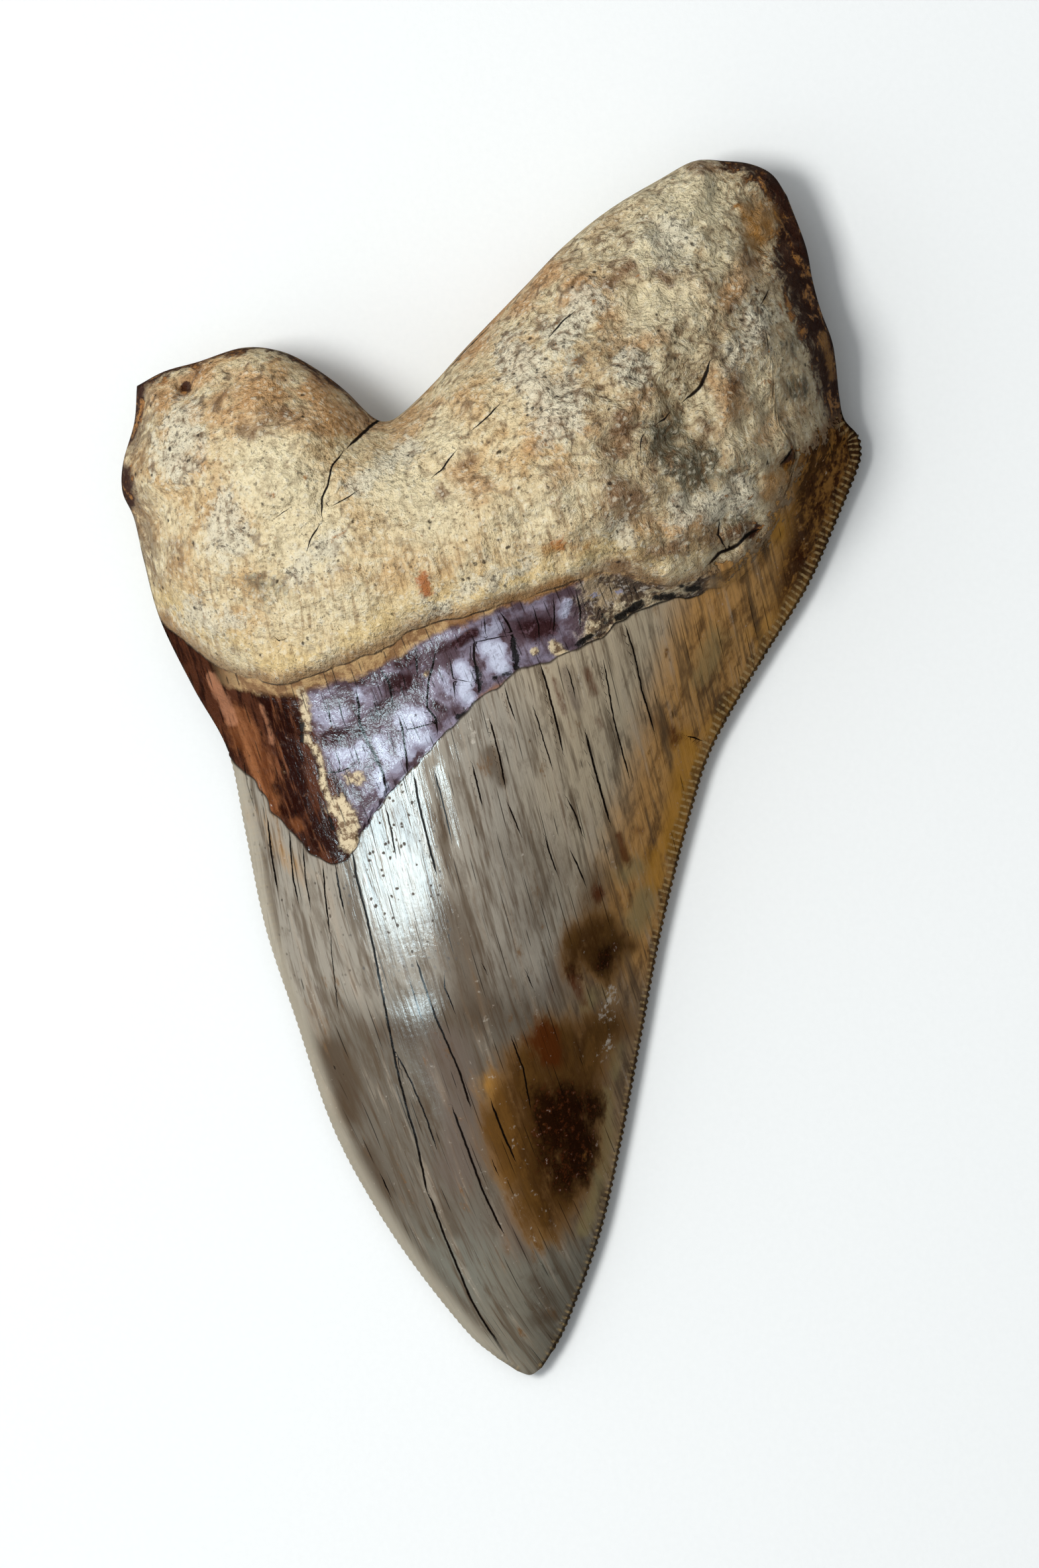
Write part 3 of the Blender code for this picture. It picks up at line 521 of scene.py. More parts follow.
# Sky of the studio: bright on one side, dim overhead and on the other side.
SKY_SIDE = (-0.95, 0.10, 0.30)
SKY_BRIGHT = (1.00, 1.03, 1.06, 1.0)
SKY_DIM = (0.145, 0.15, 0.155, 1.0)
FLOOR_HALF = 2.0
FLOOR_WHITE = (0.77, 0.795, 0.80, 1.0)
FLOOR_SHADE = (0.76, 0.785, 0.79, 1.0)
FLOOR_ROUGHNESS = 0.75
# Mirror strength of the surface.
SHINE = 0.38
# Share of a paint's display colour that the studio light turns back into it.
PAINT_DEPTH = 0.78
# Paints, by their display values from 0 to 255.
PAINTS = {
    # On the root.
    "bone": (248, 227, 181), "warm bone": (232, 194, 138), "grey bone": (230, 213, 174),
    "light bone": (255, 243, 205), "pale bone": (255, 240, 198), "porous bone": (242, 234, 208),
    # The second paint of this line is painted shade and dirt in the low parts of the lumps.
    "cream": (244, 218, 156), "shade and dirt in dips": (168, 130, 84), "tan": (208, 150, 88), "ash": (108, 104, 84),
    "earth": (120, 74, 36), "dark fibre": (170, 136, 94), "light fibre": (244, 226, 188),
    "grime": (112, 80, 46), "light grit": (252, 244, 218), "seam": (116, 84, 50),
    "light grain": (255, 246, 220), "speck": (54, 38, 24), "pore": (40, 27, 16), "rust": (182, 98, 30),
    "brown rim": (96, 60, 30), "tar": (64, 24, 6), "gilt": (196, 132, 56), "ochre": (178, 124, 52),
    # The last paint of this line is painted shade under the rounded collar.
    "root crack": (30, 20, 14), "collar shade": (140, 102, 60),
    # On the neck band.
    # The second paint of this line is a painted sheen of the sky on the glaze.
    "glaze": (92, 74, 82), "glaze sheen": (142, 133, 150), "dark streak": (62, 38, 34),
    # The next two paints are painted reflections of the sky on the band's plates.
    "dull reflection": (162, 160, 180), "bright reflection": (202, 208, 228), "plum": (54, 30, 32),
    "light plum": (96, 70, 78), "chip": (172, 150, 118), "dark chip": (84, 66, 50),
    "pale chip": (186, 174, 160), "wedge": (84, 46, 28), "dark wedge": (48, 24, 16),
    "dull orange": (104, 56, 26), "orange": (160, 102, 62), "blush": (184, 126, 92),
    "umber": (40, 14, 7), "light umber": (120, 72, 44), "umber flake": (140, 90, 54),
    "tan strip": (190, 154, 104), "dark tan strip": (142, 103, 62), "chalk": (222, 203, 166),
    # The last paint of this line colours the cracks and also the painted shade under the plates.
    "dark chalk": (128, 102, 72), "dull ochre": (146, 98, 46), "band crack and shade": (18, 11, 8),
    # On the enamel.
    "enamel": (158, 151, 138), "warm enamel": (187, 172, 146), "gold enamel": (208, 157, 92),
    "burn": (104, 66, 30), "lower enamel": (106, 98, 86), "tip enamel": (120, 119, 108),
    "dark silk": (88, 72, 54), "light silk": (196, 188, 172), "dark thread": (84, 66, 50),
    "mist": (84, 66, 48), "mauve": (108, 94, 84), "smoke": (80, 64, 48), "amber": (200, 142, 50),
    "horn": (150, 134, 92), "stain halo": (124, 88, 46), "stain": (64, 38, 12),
    "light stain": (96, 66, 28), "honey": (116, 80, 36), "russet": (84, 38, 9), "core": (28, 8, 3),
    "ember": (74, 34, 14), "scorch": (58, 28, 12), "light scorch": (158, 110, 48),
    "milk": (200, 192, 178), "enamel crack": (13, 8, 5), "pick": (58, 48, 42),
    # The last three paints are painted light and shade: a shadow at the right edge, a light rim on the
    # left edge, a shadow under the ledge.
    "between teeth": (74, 50, 26), "crest of teeth": (206, 176, 122), "shadow beyond edge": (26, 17, 10),
    "light rim": (180, 172, 154), "shadow under ledge": (30, 20, 15),
}
# Tints of the enamel, each from the patch and the paint of that name: share.
ENAMEL_TINTS = {"mauve": 0.70, "smoke": 0.75, "amber": 0.75, "horn": 0.75}


def smooth_line(points):
    """Closely spaced points of a smooth curve through the given ones."""
    knots = np.array(points, float)
    first = 2 * knots[0] - knots[1]
    last = 2 * knots[-1] - knots[-2]
    knots = np.vstack([first, knots, last])
    t = np.linspace(0.0, 1.0, CURVE_STEPS, endpoint=False)[:, None]
    runs = []
    for a, b, c, d in zip(knots, knots[1:], knots[2:], knots[3:]):
        square = 2 * a - 5 * b + 4 * c - d
        cube = 3 * b - a - 3 * c + d
        runs.append(0.5 * (2 * b + (c - a) * t + square * t**2 + cube * t**3))
    return np.vstack(runs + [knots[-2]])


def side_lines():
    """Smooth outlines of the left and of the right side."""
    return [smooth_line(side) for side in (LEFT_SIDE, RIGHT_SIDE)]


def sides(y):
    """Place on X of the left and right side at each Y."""
    return [np.interp(y, line[:, 1], line[:, 0]) for line in side_lines()]


def level(line, across):
    """Place on Y of a cross line at each share of the way across."""
    x, y = smooth_line(line).T
    left, right = sides(y)
    return np.interp(across, (x - left) / (right - left), y)


def plan(across, zone):
    """Place on the plan of points given by share across (0 to 1) and zone (0 to 3)."""
    tip, enamel, collar, top = (
        level(line, across) for line in (TIP, ENAMEL_LINE, COLLAR_LINE, LOBE_TOPS)
    )
    up = np.clip(zone, 0, 1)
    lean = 1 - LEVEL_RISE / (enamel - tip)
    y = tip + (enamel - tip) * (up + lean * (up**3 - up))
    y += (collar - enamel) * np.clip(zone - 1, 0, 1)
    y += (top - collar) * np.clip(zone - 2, 0, 1)
    left, right = sides(y)
    return np.stack([left + (right - left) * across, y], axis=1)


def ramp(start, end, value):
    """Smooth rise from 0 at start to 1 at end."""
    t = np.clip((value - start) / (end - start), 0.0, 1.0)
    return t * t * (3 - 2 * t)


def bell(apart, reach):
    """Soft share that is 1 at no distance and fades out past the reach."""
    return np.exp(-((apart / reach) ** 2))


def quarter_round(share):
    """Height of a round edge, 0 to 1, at a share of its radius from the rim."""
    return np.sqrt(1 - (1 - np.clip(share, 0.0, 1.0)) ** 2)


def measure(place, line):
    """Distance of each point from a line, with a sign for its side, and the run along it."""
    nearest = np.full(len(place), np.inf)
    signed = np.zeros(len(place))
    run = np.zeros(len(place))
    done = 0.0
    for start, end in zip(line, line[1:]):
        step = end - start
        length = np.hypot(*step)
        from_start = place - start
        share = np.clip(from_start @ step / length**2, 0.0, 1.0)
        gap = from_start - share[:, None] * step
        apart = np.hypot(gap[:, 0], gap[:, 1])
        near = apart < nearest
        side = np.sign(step[0] * gap[near, 1] - step[1] * gap[near, 0])
        nearest[near] = apart[near]
        signed[near] = apart[near] * np.where(side < 0, -1.0, 1.0)
        run[near] = done + share[near] * length
        done += length
    return signed, run


def distance(place, line):
    """Distance of each point from a line."""
    return np.abs(measure(place, line)[0])


def lumps(place, size, seed):
    """Soft irregular lumps between -1 and 1."""
    spots = [Vector((x / size, y / size, seed)) for x, y in place]
    return np.array([noise.noise(spot) for spot in spots])


def from_table(pairs, value):
    """Value read off a list of (place, value) pairs."""
    places, values = zip(*pairs)
    return np.interp(value, places, values)


def root_outline():
    """Outline of the root on the plan, from one shoulder round the lobes to the other."""
    left, right = side_lines()
    left = left[left[:, 1] > COLLAR_LINE[0][1]]
    right = right[right[:, 1] > COLLAR_LINE[-1][1]]
    return np.vstack([left, smooth_line(LOBE_TOPS)[1:-1], right[::-1]])


def past_border(place, zone, name):
    """How far each point is past a ragged border, towards the root."""
    line, border_zone, layers, seed = BORDERS[name]
    apart = distance(place, smooth_line(line))
    rag = sum(
        amount * lumps(place, size, seed + number)
        for number, (size, amount) in enumerate(layers)
    )
    return np.where(zone > border_zone, apart, -apart) + rag


def upper_heights(place, across, zone):
    """Height of the upper face above the surface."""
    past_enamel = past_border(place, zone, "past_enamel")
    past_collar = past_border(place, zone, "past_collar")
    rim = from_table(RIM, zone)
    cross = 2 * across - 1
    arch = (1 - cross**2) ** from_table(FULLNESS, zone)
    spine = np.interp(place[:, 1], *smooth_line(SPINE).T)
    in_root = ramp(*ROOT_ZONES, zone)

    from_edge = distance(place, root_outline())
    edge = 1 - in_root * (1 - quarter_round(from_edge / ROOT_EDGE_RADIUS))
    from_top = distance(place, smooth_line(LOBE_TOPS))
    taper = 1 - LOBE_TAPER * in_root * (1 - ramp(0.0, LOBE_TAPER_REACH, from_top))
    height = rim + (spine * taper - rim) * arch * edge

    to_shoulder = ramp(*LEDGE_END, place[:, 0])
    relief = COLLAR_STEP * (1 - SHOULDER_LOSS * to_shoulder) * ramp(*COLLAR_RISE, past_collar)
    sunk = ramp(0.0, LEDGE_WIDTH, past_enamel) * (1 - ramp(-COLLAR_FOOT, 0.0, past_collar))
    relief -= ENAMEL_STEP * sunk * (1 - to_shoulder)
    relief -= VALLEY_DEPTH * bell(distance(place, smooth_line(VALLEY)), VALLEY_WIDTH) * in_root
    for x, y, radius, depth in HOLLOWS + PITS:
        relief -= depth * bell(np.linalg.norm(place - (x, y), axis=1), radius)
    for seed, (size, amount) in enumerate(LUMPS):
        relief += amount * lumps(place, size, seed) * in_root
    on_root = ramp(*BONE_START, past_collar)
    to_right = ramp(*RIGHT_LOBE, place[:, 0])
    for seed, (size, amount, more) in enumerate(FINE_LUMPS, FINE_SEED):
        relief += (amount + more * to_right) * lumps(place, size, seed) * on_root
    size, amount, seed = CROWN_WAVES
    relief += amount * lumps(place, size, seed) * (1 - in_root)
    on_crown = past_enamel < FLATS_END
    for half_width, depth, points in FLATS:
        relief -= depth * bell(distance(place, smooth_line(points)), half_width) * on_crown
    band_share = past_enamel / np.maximum(past_enamel - past_collar, NARROWEST_BAND)
    relief += from_table(BAND_SWELL, np.clip(band_share, 0.0, 1.0))
    for strength, points in ROOT_CRACKS:
        apart = distance(place, np.array(points))
        relief -= strength * ROOT_CRACK_DEPTH * bell(apart, ROOT_CRACK_WIDTH)
    calm = np.minimum(1.0, RIM_CALM * arch * edge) * ramp(0.0, TIP_CALM, zone)
    return height + relief * calm


def lower_heights(place, across, zone):
    """Height of the lower face, cut flat where it rests on the surface."""
    rim = from_table(RIM, zone)
    cross = 2 * across - 1
    arch = 1 - np.abs(cross) ** UNDER_FULLNESS
    in_root = ramp(*ROOT_ZONES, zone)
    from_edge = distance(place, root_outline())
    edge = 1 - in_root * (1 - quarter_round(from_edge / ROOT_UNDER_RADIUS))
    x, y, half_width, half_length, depth = UNDER_HOLLOW
    spread = ((place[:, 0] - x) / half_width) ** 2 + ((place[:, 1] - y) / half_length) ** 2
    in_tip = 1 - ramp(0, TIP_ZONE, zone)
    floor = -FLAT_DEPTH + depth * np.exp(-spread) + (TIP_LIFT + FLAT_DEPTH) * in_tip
    height = rim - (rim - floor) * arch * edge
    return np.maximum(height, 0.0)


def crowded(share):
    """Spread of shares 0 to 1 that is denser near both ends."""
    return (1 - RIM_CROWDING) * share + RIM_CROWDING * (1 - np.cos(np.pi * share)) / 2


def row_zones():
    """Zone of each row of the grid, from the tip to the top of the lobes."""
    enamel = np.linspace(0.0, 1.0, ENAMEL_ROWS + 1)
    band = np.linspace(1.0, 2.0, BAND_ROWS + 1)
    root = 2 + crowded(np.linspace(0.0, 1.0, ROOT_ROWS + 1))
    return np.concatenate([enamel, band[1:], root[1:]])


def write(mesh, name, verts, values):
    """Store values in one of the mesh's layers."""
    layer = mesh.verts.layers.float[name]
    for vert, value in zip(verts, values):
        vert[layer] = value


def read(mesh, name):
    """Values of one of the mesh's layers, for all its vertices."""
    layer = mesh.verts.layers.float[name]
    return np.array([vert[layer] for vert in mesh.verts])


def add_sheet(mesh, upper):
    """Add the grid of the lower face, which comes first, or of the upper, bent to the plan."""
    zones = row_zones()
    rows = len(zones) - 1
    coarser = 1 if upper else UNDER_SHARE
    made = bmesh.ops.create_grid(
        mesh, x_segments=COLUMNS // coarser, y_segments=rows // coarser, size=1.0
    )
    verts = made["verts"]
    if not upper:
        border = [edge for edge in mesh.edges if edge.is_boundary]
        bmesh.ops.subdivide_edges(mesh, edges=border, cuts=UNDER_SHARE - 1)
        bmesh.ops.triangulate(mesh, faces=mesh.faces[:])
        bmesh.ops.reverse_faces(mesh, faces=mesh.faces[:])
        verts = mesh.verts[:]
    flat = (np.array([vert.co.xy for vert in verts]) + 1) / 2
    across = crowded(flat[:, 0])
    zone = np.interp(flat[:, 1] * rows, np.arange(rows + 1), zones)
    for vert, place in zip(verts, plan(across, zone)):
        vert.co = Vector((*place, 0.0)) * MM
    write(mesh, "across", verts, across)
    write(mesh, "zone", verts, zone)
    write(mesh, "upper", verts, np.full(len(verts), float(upper)))


def raise_sheets(mesh):
    """Lift the flat sheets to the heights of both faces, which meet along the rim."""
    across, zone, upper = (read(mesh, name) for name in LAYERS)
    place = np.array([vert.co.xy for vert in mesh.verts]) / MM
    height = np.where(
        upper > 0.5, upper_heights(place, across, zone), lower_heights(place, across, zone)
    )
    on_rim = np.array([vert.is_boundary for vert in mesh.verts])
    height[on_rim] = from_table(RIM, zone[on_rim])
    for vert, z in zip(mesh.verts, height):
        vert.co.z = z * MM


def on_edge(mesh, side):
    """Test for a vertex of one cutting edge: side 0 is the left edge, 1 the right."""
    across = mesh.verts.layers.float["across"]
    zone = mesh.verts.layers.float["zone"]
    start, end = SERRATION_ZONES
    return lambda vert: abs(vert[across] - side) < EDGE_SLACK and start < vert[zone] < end


def cut_edge(mesh, side):
    """Cut one cutting edge into short pieces for its serrations."""
    is_rim = on_edge(mesh, side)
    edges = [edge for edge in mesh.edges if all(is_rim(vert) for vert in edge.verts)]
    bmesh.ops.subdivide_edges(mesh, edges=edges, cuts=SERRATION_CUTS)


def push_serrations(mesh, side):
    """Shape one cutting edge into its row of fine teeth."""
    is_rim = on_edge(mesh, side)
    rim = [vert for vert in mesh.verts if is_rim(vert)]
    line = side_lines()[side]
    place = np.array([vert.co.xy for vert in rim]) / MM
    run = measure(place, line)[1]
    slope = np.gradient(line[:, 0], line[:, 1])
    lean = np.interp(place[:, 1], line[:, 1], slope)
    outward = np.stack([np.ones(len(rim)), -lean], axis=1) / np.hypot(1, lean)[:, None]
    outward *= 1 if side else -1
    bulge = 2 * np.abs(np.sin(np.pi * run / SERRATION_PITCH)) - 1
    for vert, push in zip(rim, outward * (bulge * SERRATION_DEPTHS[side])[:, None]):
        vert.co += Vector((*push, 0.0)) * MM


def crease_rim(mesh):
    """Keep the cutting edges crisp under smooth shading."""
    zone = mesh.verts.layers.float["zone"]
    for face in mesh.faces:
        face.smooth = True
    for edge in mesh.edges:
        in_crown = all(vert[zone] < CREASE_END for vert in edge.verts)
        if in_crown and edge.calc_face_angle(0.0) > SHARP_FOLD:
            edge.smooth = False


def crack_field(place, cracks, reach):
    """Signed distance from the nearest crack, and how strong the crack is there."""
    gap = np.full(len(place), reach[1])
    power = np.zeros(len(place))
    for strength, points in cracks:
        line = np.array(points)
        low, high = line.min(axis=0) - reach[1], line.max(axis=0) + reach[1]
        close = np.all((place > low) & (place < high), axis=1)
        signed, run = measure(place[close], line)
        length = np.hypot(*np.diff(line, axis=0).T).sum()
        from_end = np.minimum(run, length - run)
        here = strength * (1 - ramp(*reach, np.abs(signed)))
        here *= CRACK_TIP + (1 - CRACK_TIP) * ramp(0.0, CRACK_END, from_end)
        here *= np.abs(signed) < reach[1]
        nearer = np.abs(signed) < np.abs(gap[close])
        gap[close] = np.where(nearer, signed, gap[close])
        power[close] = np.where(nearer, here, power[close])
    return gap, power


def inside(place, outline):
    """Which points lie inside a closed outline."""
    x, y = place.T
    within = np.zeros(len(place), bool)
    for (x0, y0), (x1, y1) in zip(outline, np.roll(outline, -1, axis=0)):
        spans = (y0 > y) != (y1 > y)
        crossing = x0 + (x1 - x0) * (y - y0) / (y1 - y0 if y1 != y0 else 1.0)
        within ^= spans & (x < crossing)
    return within


def patch_field(place, name):
    """How strong a patch of colour is at each point: 1 well inside, fading out round it."""
    field = np.zeros(len(place))
    for half_width, strength, points in PATCHES.get(name, []):
        line = np.array(points)
        if len(line) == 1:
            apart = np.linalg.norm(place - line[0], axis=1)
        else:
            apart = distance(place, line)
        field = np.maximum(field, strength * np.exp(-0.5 * (apart / half_width) ** 2))
    for softness, strength, points in AREAS.get(name, []):
        outline = np.array(points)
        border = distance(place, np.vstack([outline, outline[:1]]))
        depth = np.where(inside(place, outline), border, -border)
        field = np.maximum(field, strength * ramp(-softness, softness, depth))
    return field


def mark_places(data):
    """Store on the mesh where its borders, cracks, grain and patches of colour are."""
    count = len(data.vertices)
    spot = np.zeros(count * 3, np.float32)
    data.vertices.foreach_get("co", spot)
    place = spot.reshape(-1, 3)[:, :2].astype(float) / MM
    zone = np.zeros(count, np.float32)
    data.attributes["zone"].data.foreach_get("value", zone)
    marks = {name: past_border(place, zone, name) for name in BORDERS}
    (left_gap, left_run), (right_gap, right_run) = (measure(place, line) for line in side_lines())
    on_left = np.abs(left_gap) < np.abs(right_gap)
    marks["rim_gap"] = np.where(on_left, np.abs(left_gap), np.abs(right_gap))
    marks["rim_run"] = np.where(on_left, left_run, right_run)
    bend = np.interp(place[:, 1], *smooth_line(GRAIN_DRIFT).T)
    bending = ramp(*GRAIN_BENDING, place[:, 0] - GRAIN_LEAN * place[:, 1])
    marks["grain"] = place[:, 0] + bend * bending
    marks["crack_gap"], marks["crack"] = crack_field(place, CRACKS, CRACK_REACH)
    marks["root_crack_gap"], marks["root_crack"] = crack_field(place, ROOT_CRACKS, ROOT_CRACK_REACH)
    for name in sorted({*PATCHES, *AREAS}):
        marks[name] = patch_field(place, name)
    for name, values in marks.items():
        layer = data.attributes.new(name, "FLOAT", "POINT")
        layer.data.foreach_set("value", values.astype(np.float32))


def keep_mesh(mesh, name):
    """Turn a finished bmesh into mesh data."""
    data = bpy.data.meshes.new(name)
    mesh.to_mesh(data)
    mesh.free()
    return data


def set_down(name, data):
    """Put a new object into the scene."""
    made = bpy.data.objects.new(name, data)
    bpy.context.scene.collection.objects.link(made)
    return made


def build_tooth():
    """Make the skin of the tooth, closed all round."""
    mesh = bmesh.new()
    for name in LAYERS:
        mesh.verts.layers.float.new(name)
    add_sheet(mesh, upper=False)
    add_sheet(mesh, upper=True)
    raise_sheets(mesh)
    rim = [vert for vert in mesh.verts if vert.is_boundary]
    bmesh.ops.remove_doubles(mesh, verts=rim, dist=0.001 * MM)
    for side in (0, 1):
        cut_edge(mesh, side)
    bmesh.ops.triangulate(mesh, faces=mesh.faces[:])
    for side in (0, 1):
        push_serrations(mesh, side)
    bmesh.ops.recalc_face_normals(mesh, faces=mesh.faces[:])
    crease_rim(mesh)
    data = keep_mesh(mesh, "megalodon_tooth")
    mark_places(data)
    return set_down("megalodon_tooth", data)


def paint(name):
    """Linear colour of a paint."""
    shares = np.array(PAINTS[name]) / 255
    linear = np.where(shares > 0.04045, ((shares + 0.055) / 1.055) ** 2.4, shares / 12.92)
    return (*(linear * PAINT_DEPTH), 1.0)


class Finish:
    """A material's node graph, with one short call for each kind of node."""

    def __init__(self, name):
        self.material = bpy.data.materials.new(name)
        self.material.use_nodes = True
        self.tree = self.material.node_tree
        self.surface = self.tree.nodes["Principled BSDF"]
        object_place = self.node("ShaderNodeTexCoord").outputs["Object"]
        self.spot = self.scale(object_place, 1 / MM)
        parts = self.node("ShaderNodeSeparateXYZ", Vector=self.spot).outputs
        self.x, self.y, self.z = parts["X"], parts["Y"], parts["Z"]

    def node(self, kind, settings=None, **inputs):
        """A new node; in an input's name an underscore stands for a space."""
        made = self.tree.nodes.new(kind)
        for name, value in (settings or {}).items():
            setattr(made, name, value)
        for name, value in inputs.items():
            self.plug(value, made.inputs[name.replace("_", " ")])
        return made

    def plug(self, value, socket):
        """Link a socket's value, or set a plain one."""
        if isinstance(value, bpy.types.NodeSocket):
            self.tree.links.new(value, socket)
        else:
            socket.default_value = value

    def mark(self, name):
        """A value stored on the mesh."""
        return self.node("ShaderNodeAttribute", {"attribute_name": name}).outputs["Fac"]

    def math(self, operation, *values):
        made = self.node("ShaderNodeMath", {"operation": operation})
        for value, socket in zip(values, made.inputs):
            self.plug(value, socket)
        return made.outputs["Value"]

    def gather(self, operation, values):
        """One number made of several, taken one after the other."""
        result = values[0]
        for value in values[1:]:
            result = self.math(operation, result, value)
        return result

    def add(self, *values):
        return self.gather("ADD", values)

    def times(self, *values):
        return self.gather("MULTIPLY", values)

    def highest(self, *values):
        return self.gather("MAXIMUM", values)

    def less(self, value, taken):
        return self.math("SUBTRACT", value, taken)

    def sway(self, cloud, amount):
        """Irregular shift to both sides, by up to half the amount."""
        return self.times(self.less(cloud, 0.5), amount)

    def scale(self, vector, factor):
        made = self.node("ShaderNodeVectorMath", {"operation": "SCALE"}, Vector=vector, Scale=factor)
        return made.outputs["Vector"]

    def vector(self, x, y, z=0.0):
        return self.node("ShaderNodeCombineXYZ", X=x, Y=y, Z=z).outputs["Vector"]

    def fade(self, value, start, end, low=0.0, high=1.0):
        """Smooth change from low to high while the value goes from start to end."""
        made = self.node("ShaderNodeMapRange", {"interpolation_type": "SMOOTHSTEP"}, Value=value)
        for name, number in zip(("From Min", "From Max", "To Min", "To Max"), (start, end, low, high)):
            self.plug(number, made.inputs[name])
        return made.outputs["Result"]

    def noise(self, size, detail=3.0, roughness=0.55, vector=None, warp=0.0):
        """Cloudy values round 0.5, with clouds of the given size in millimetres."""
        made = self.node(
            "ShaderNodeTexNoise", Vector=vector or self.spot, Scale=1 / size,
            Detail=detail, Roughness=roughness, Distortion=warp,
        )
        return made.outputs["Fac"]

    def cells(self, size, vector):
        """Distance from the middles of irregular cells."""
        made = self.node("ShaderNodeTexVoronoi", Vector=vector, Scale=1 / size)
        return made.outputs["Distance"]

    def tint(self, under, over, amount):
        """One colour laid over another.  A paint is given by its name."""
        made = self.node("ShaderNodeMix", {"data_type": "RGBA"})
        self.plug(amount, made.inputs[0])
        for colour, socket in ((under, made.inputs[6]), (over, made.inputs[7])):
            self.plug(paint(colour) if isinstance(colour, str) else colour, socket)
        return made.outputs[2]

    def coats(self, colour, *coats):
        """A colour with coats laid over it in turn, each with its own amount."""
        for over, amount in coats:
            colour = self.tint(colour, over, amount)
        return colour

    def choose(self, under, over, amount):
        """One number mixed into another."""
        made = self.node("ShaderNodeMix", {"data_type": "FLOAT"})
        self.plug(amount, made.inputs[0])
        self.plug(under, made.inputs[2])
        self.plug(over, made.inputs[3])
        return made.outputs[0]

    def patch(self, name, cloud, grit, low=0.35, high=1.0, ragged=2.4):
        """A patch of colour that breaks up into its surroundings."""
        broken = self.add(self.sway(cloud, ragged), self.sway(grit, 0.4 * ragged))
        return self.fade(self.add(self.mark(name), broken), low, high)

    def warped(self, size, amount):
        """Places shifted about a little, so that cells lose their even shapes."""
        cloud = self.node("ShaderNodeTexNoise", Vector=self.spot, Scale=1 / size).outputs["Color"]
        shift = self.node("ShaderNodeVectorMath", {"operation": "SUBTRACT"}, Vector=cloud)
        shift.inputs[1].default_value = (0.5, 0.5, 0.5)
        moved = self.scale(shift.outputs["Vector"], amount)
        made = self.node("ShaderNodeVectorMath", {"operation": "ADD"}, Vector=self.spot)
        self.plug(moved, made.inputs[1])
        return made.outputs["Vector"]

    def crack_lines(self, name, width):
        """The cracks marked on the mesh: 1 in the crack, 0 beside it."""
        power = self.mark(name)
        wander = self.sway(self.noise(0.9), 0.22)
        apart = self.math("ABSOLUTE", self.add(self.mark(name + "_gap"), wander))
        half_width = self.times(power, width)
        line = self.fade(apart, self.times(half_width, 0.4), half_width, 1.0, 0.0)
        return self.times(line, self.fade(power, 0.04, 0.12))

    def short_lines(self, across, along, pitch, length, width, share, seed):
        """Fine straight lines of random place and length: 1 in the line, 0 beside it."""
        column = self.times(across, 1 / pitch)
        own_column = self.math("FLOOR", column)
        shift = self.node(
            "ShaderNodeTexWhiteNoise", {"noise_dimensions": "2D"}, Vector=self.vector(own_column, seed)
        ).outputs["Value"]
        row = self.add(self.times(along, 1 / length), self.times(shift, 7.0))
        own_row = self.math("FLOOR", row)
        dice = self.node(
            "ShaderNodeTexWhiteNoise", {"noise_dimensions": "3D"},
            Vector=self.vector(own_column, own_row, seed),
        ).outputs["Color"]
        dice = self.node("ShaderNodeSeparateColor", Color=dice).outputs
        middle = self.add(0.5, self.sway(dice["Red"], 0.7))
        apart = self.math("ABSOLUTE", self.less(self.math("FRACT", column), middle))
        from_middle = self.math("ABSOLUTE", self.less(self.math("FRACT", row), 0.5))
        half_length = self.times(dice["Green"], 0.46)
        taper = self.fade(from_middle, self.times(half_length, 0.3), half_length, 1.0, 0.0)
        half_width = self.times(taper, width / pitch)
        line = self.fade(apart, self.times(half_width, 0.3), half_width, 1.0, 0.0)
        kept = self.math("LESS_THAN", dice["Blue"], share)
        return self.times(line, kept, self.fade(taper, 0.0, 0.15))

    def streaks(self, across, along, detail=3.0, roughness=0.6):
        """Cloudy values drawn out into streaks by the places that they are read at."""
        return self.noise(1.0, detail, roughness, vector=self.vector(across, along))


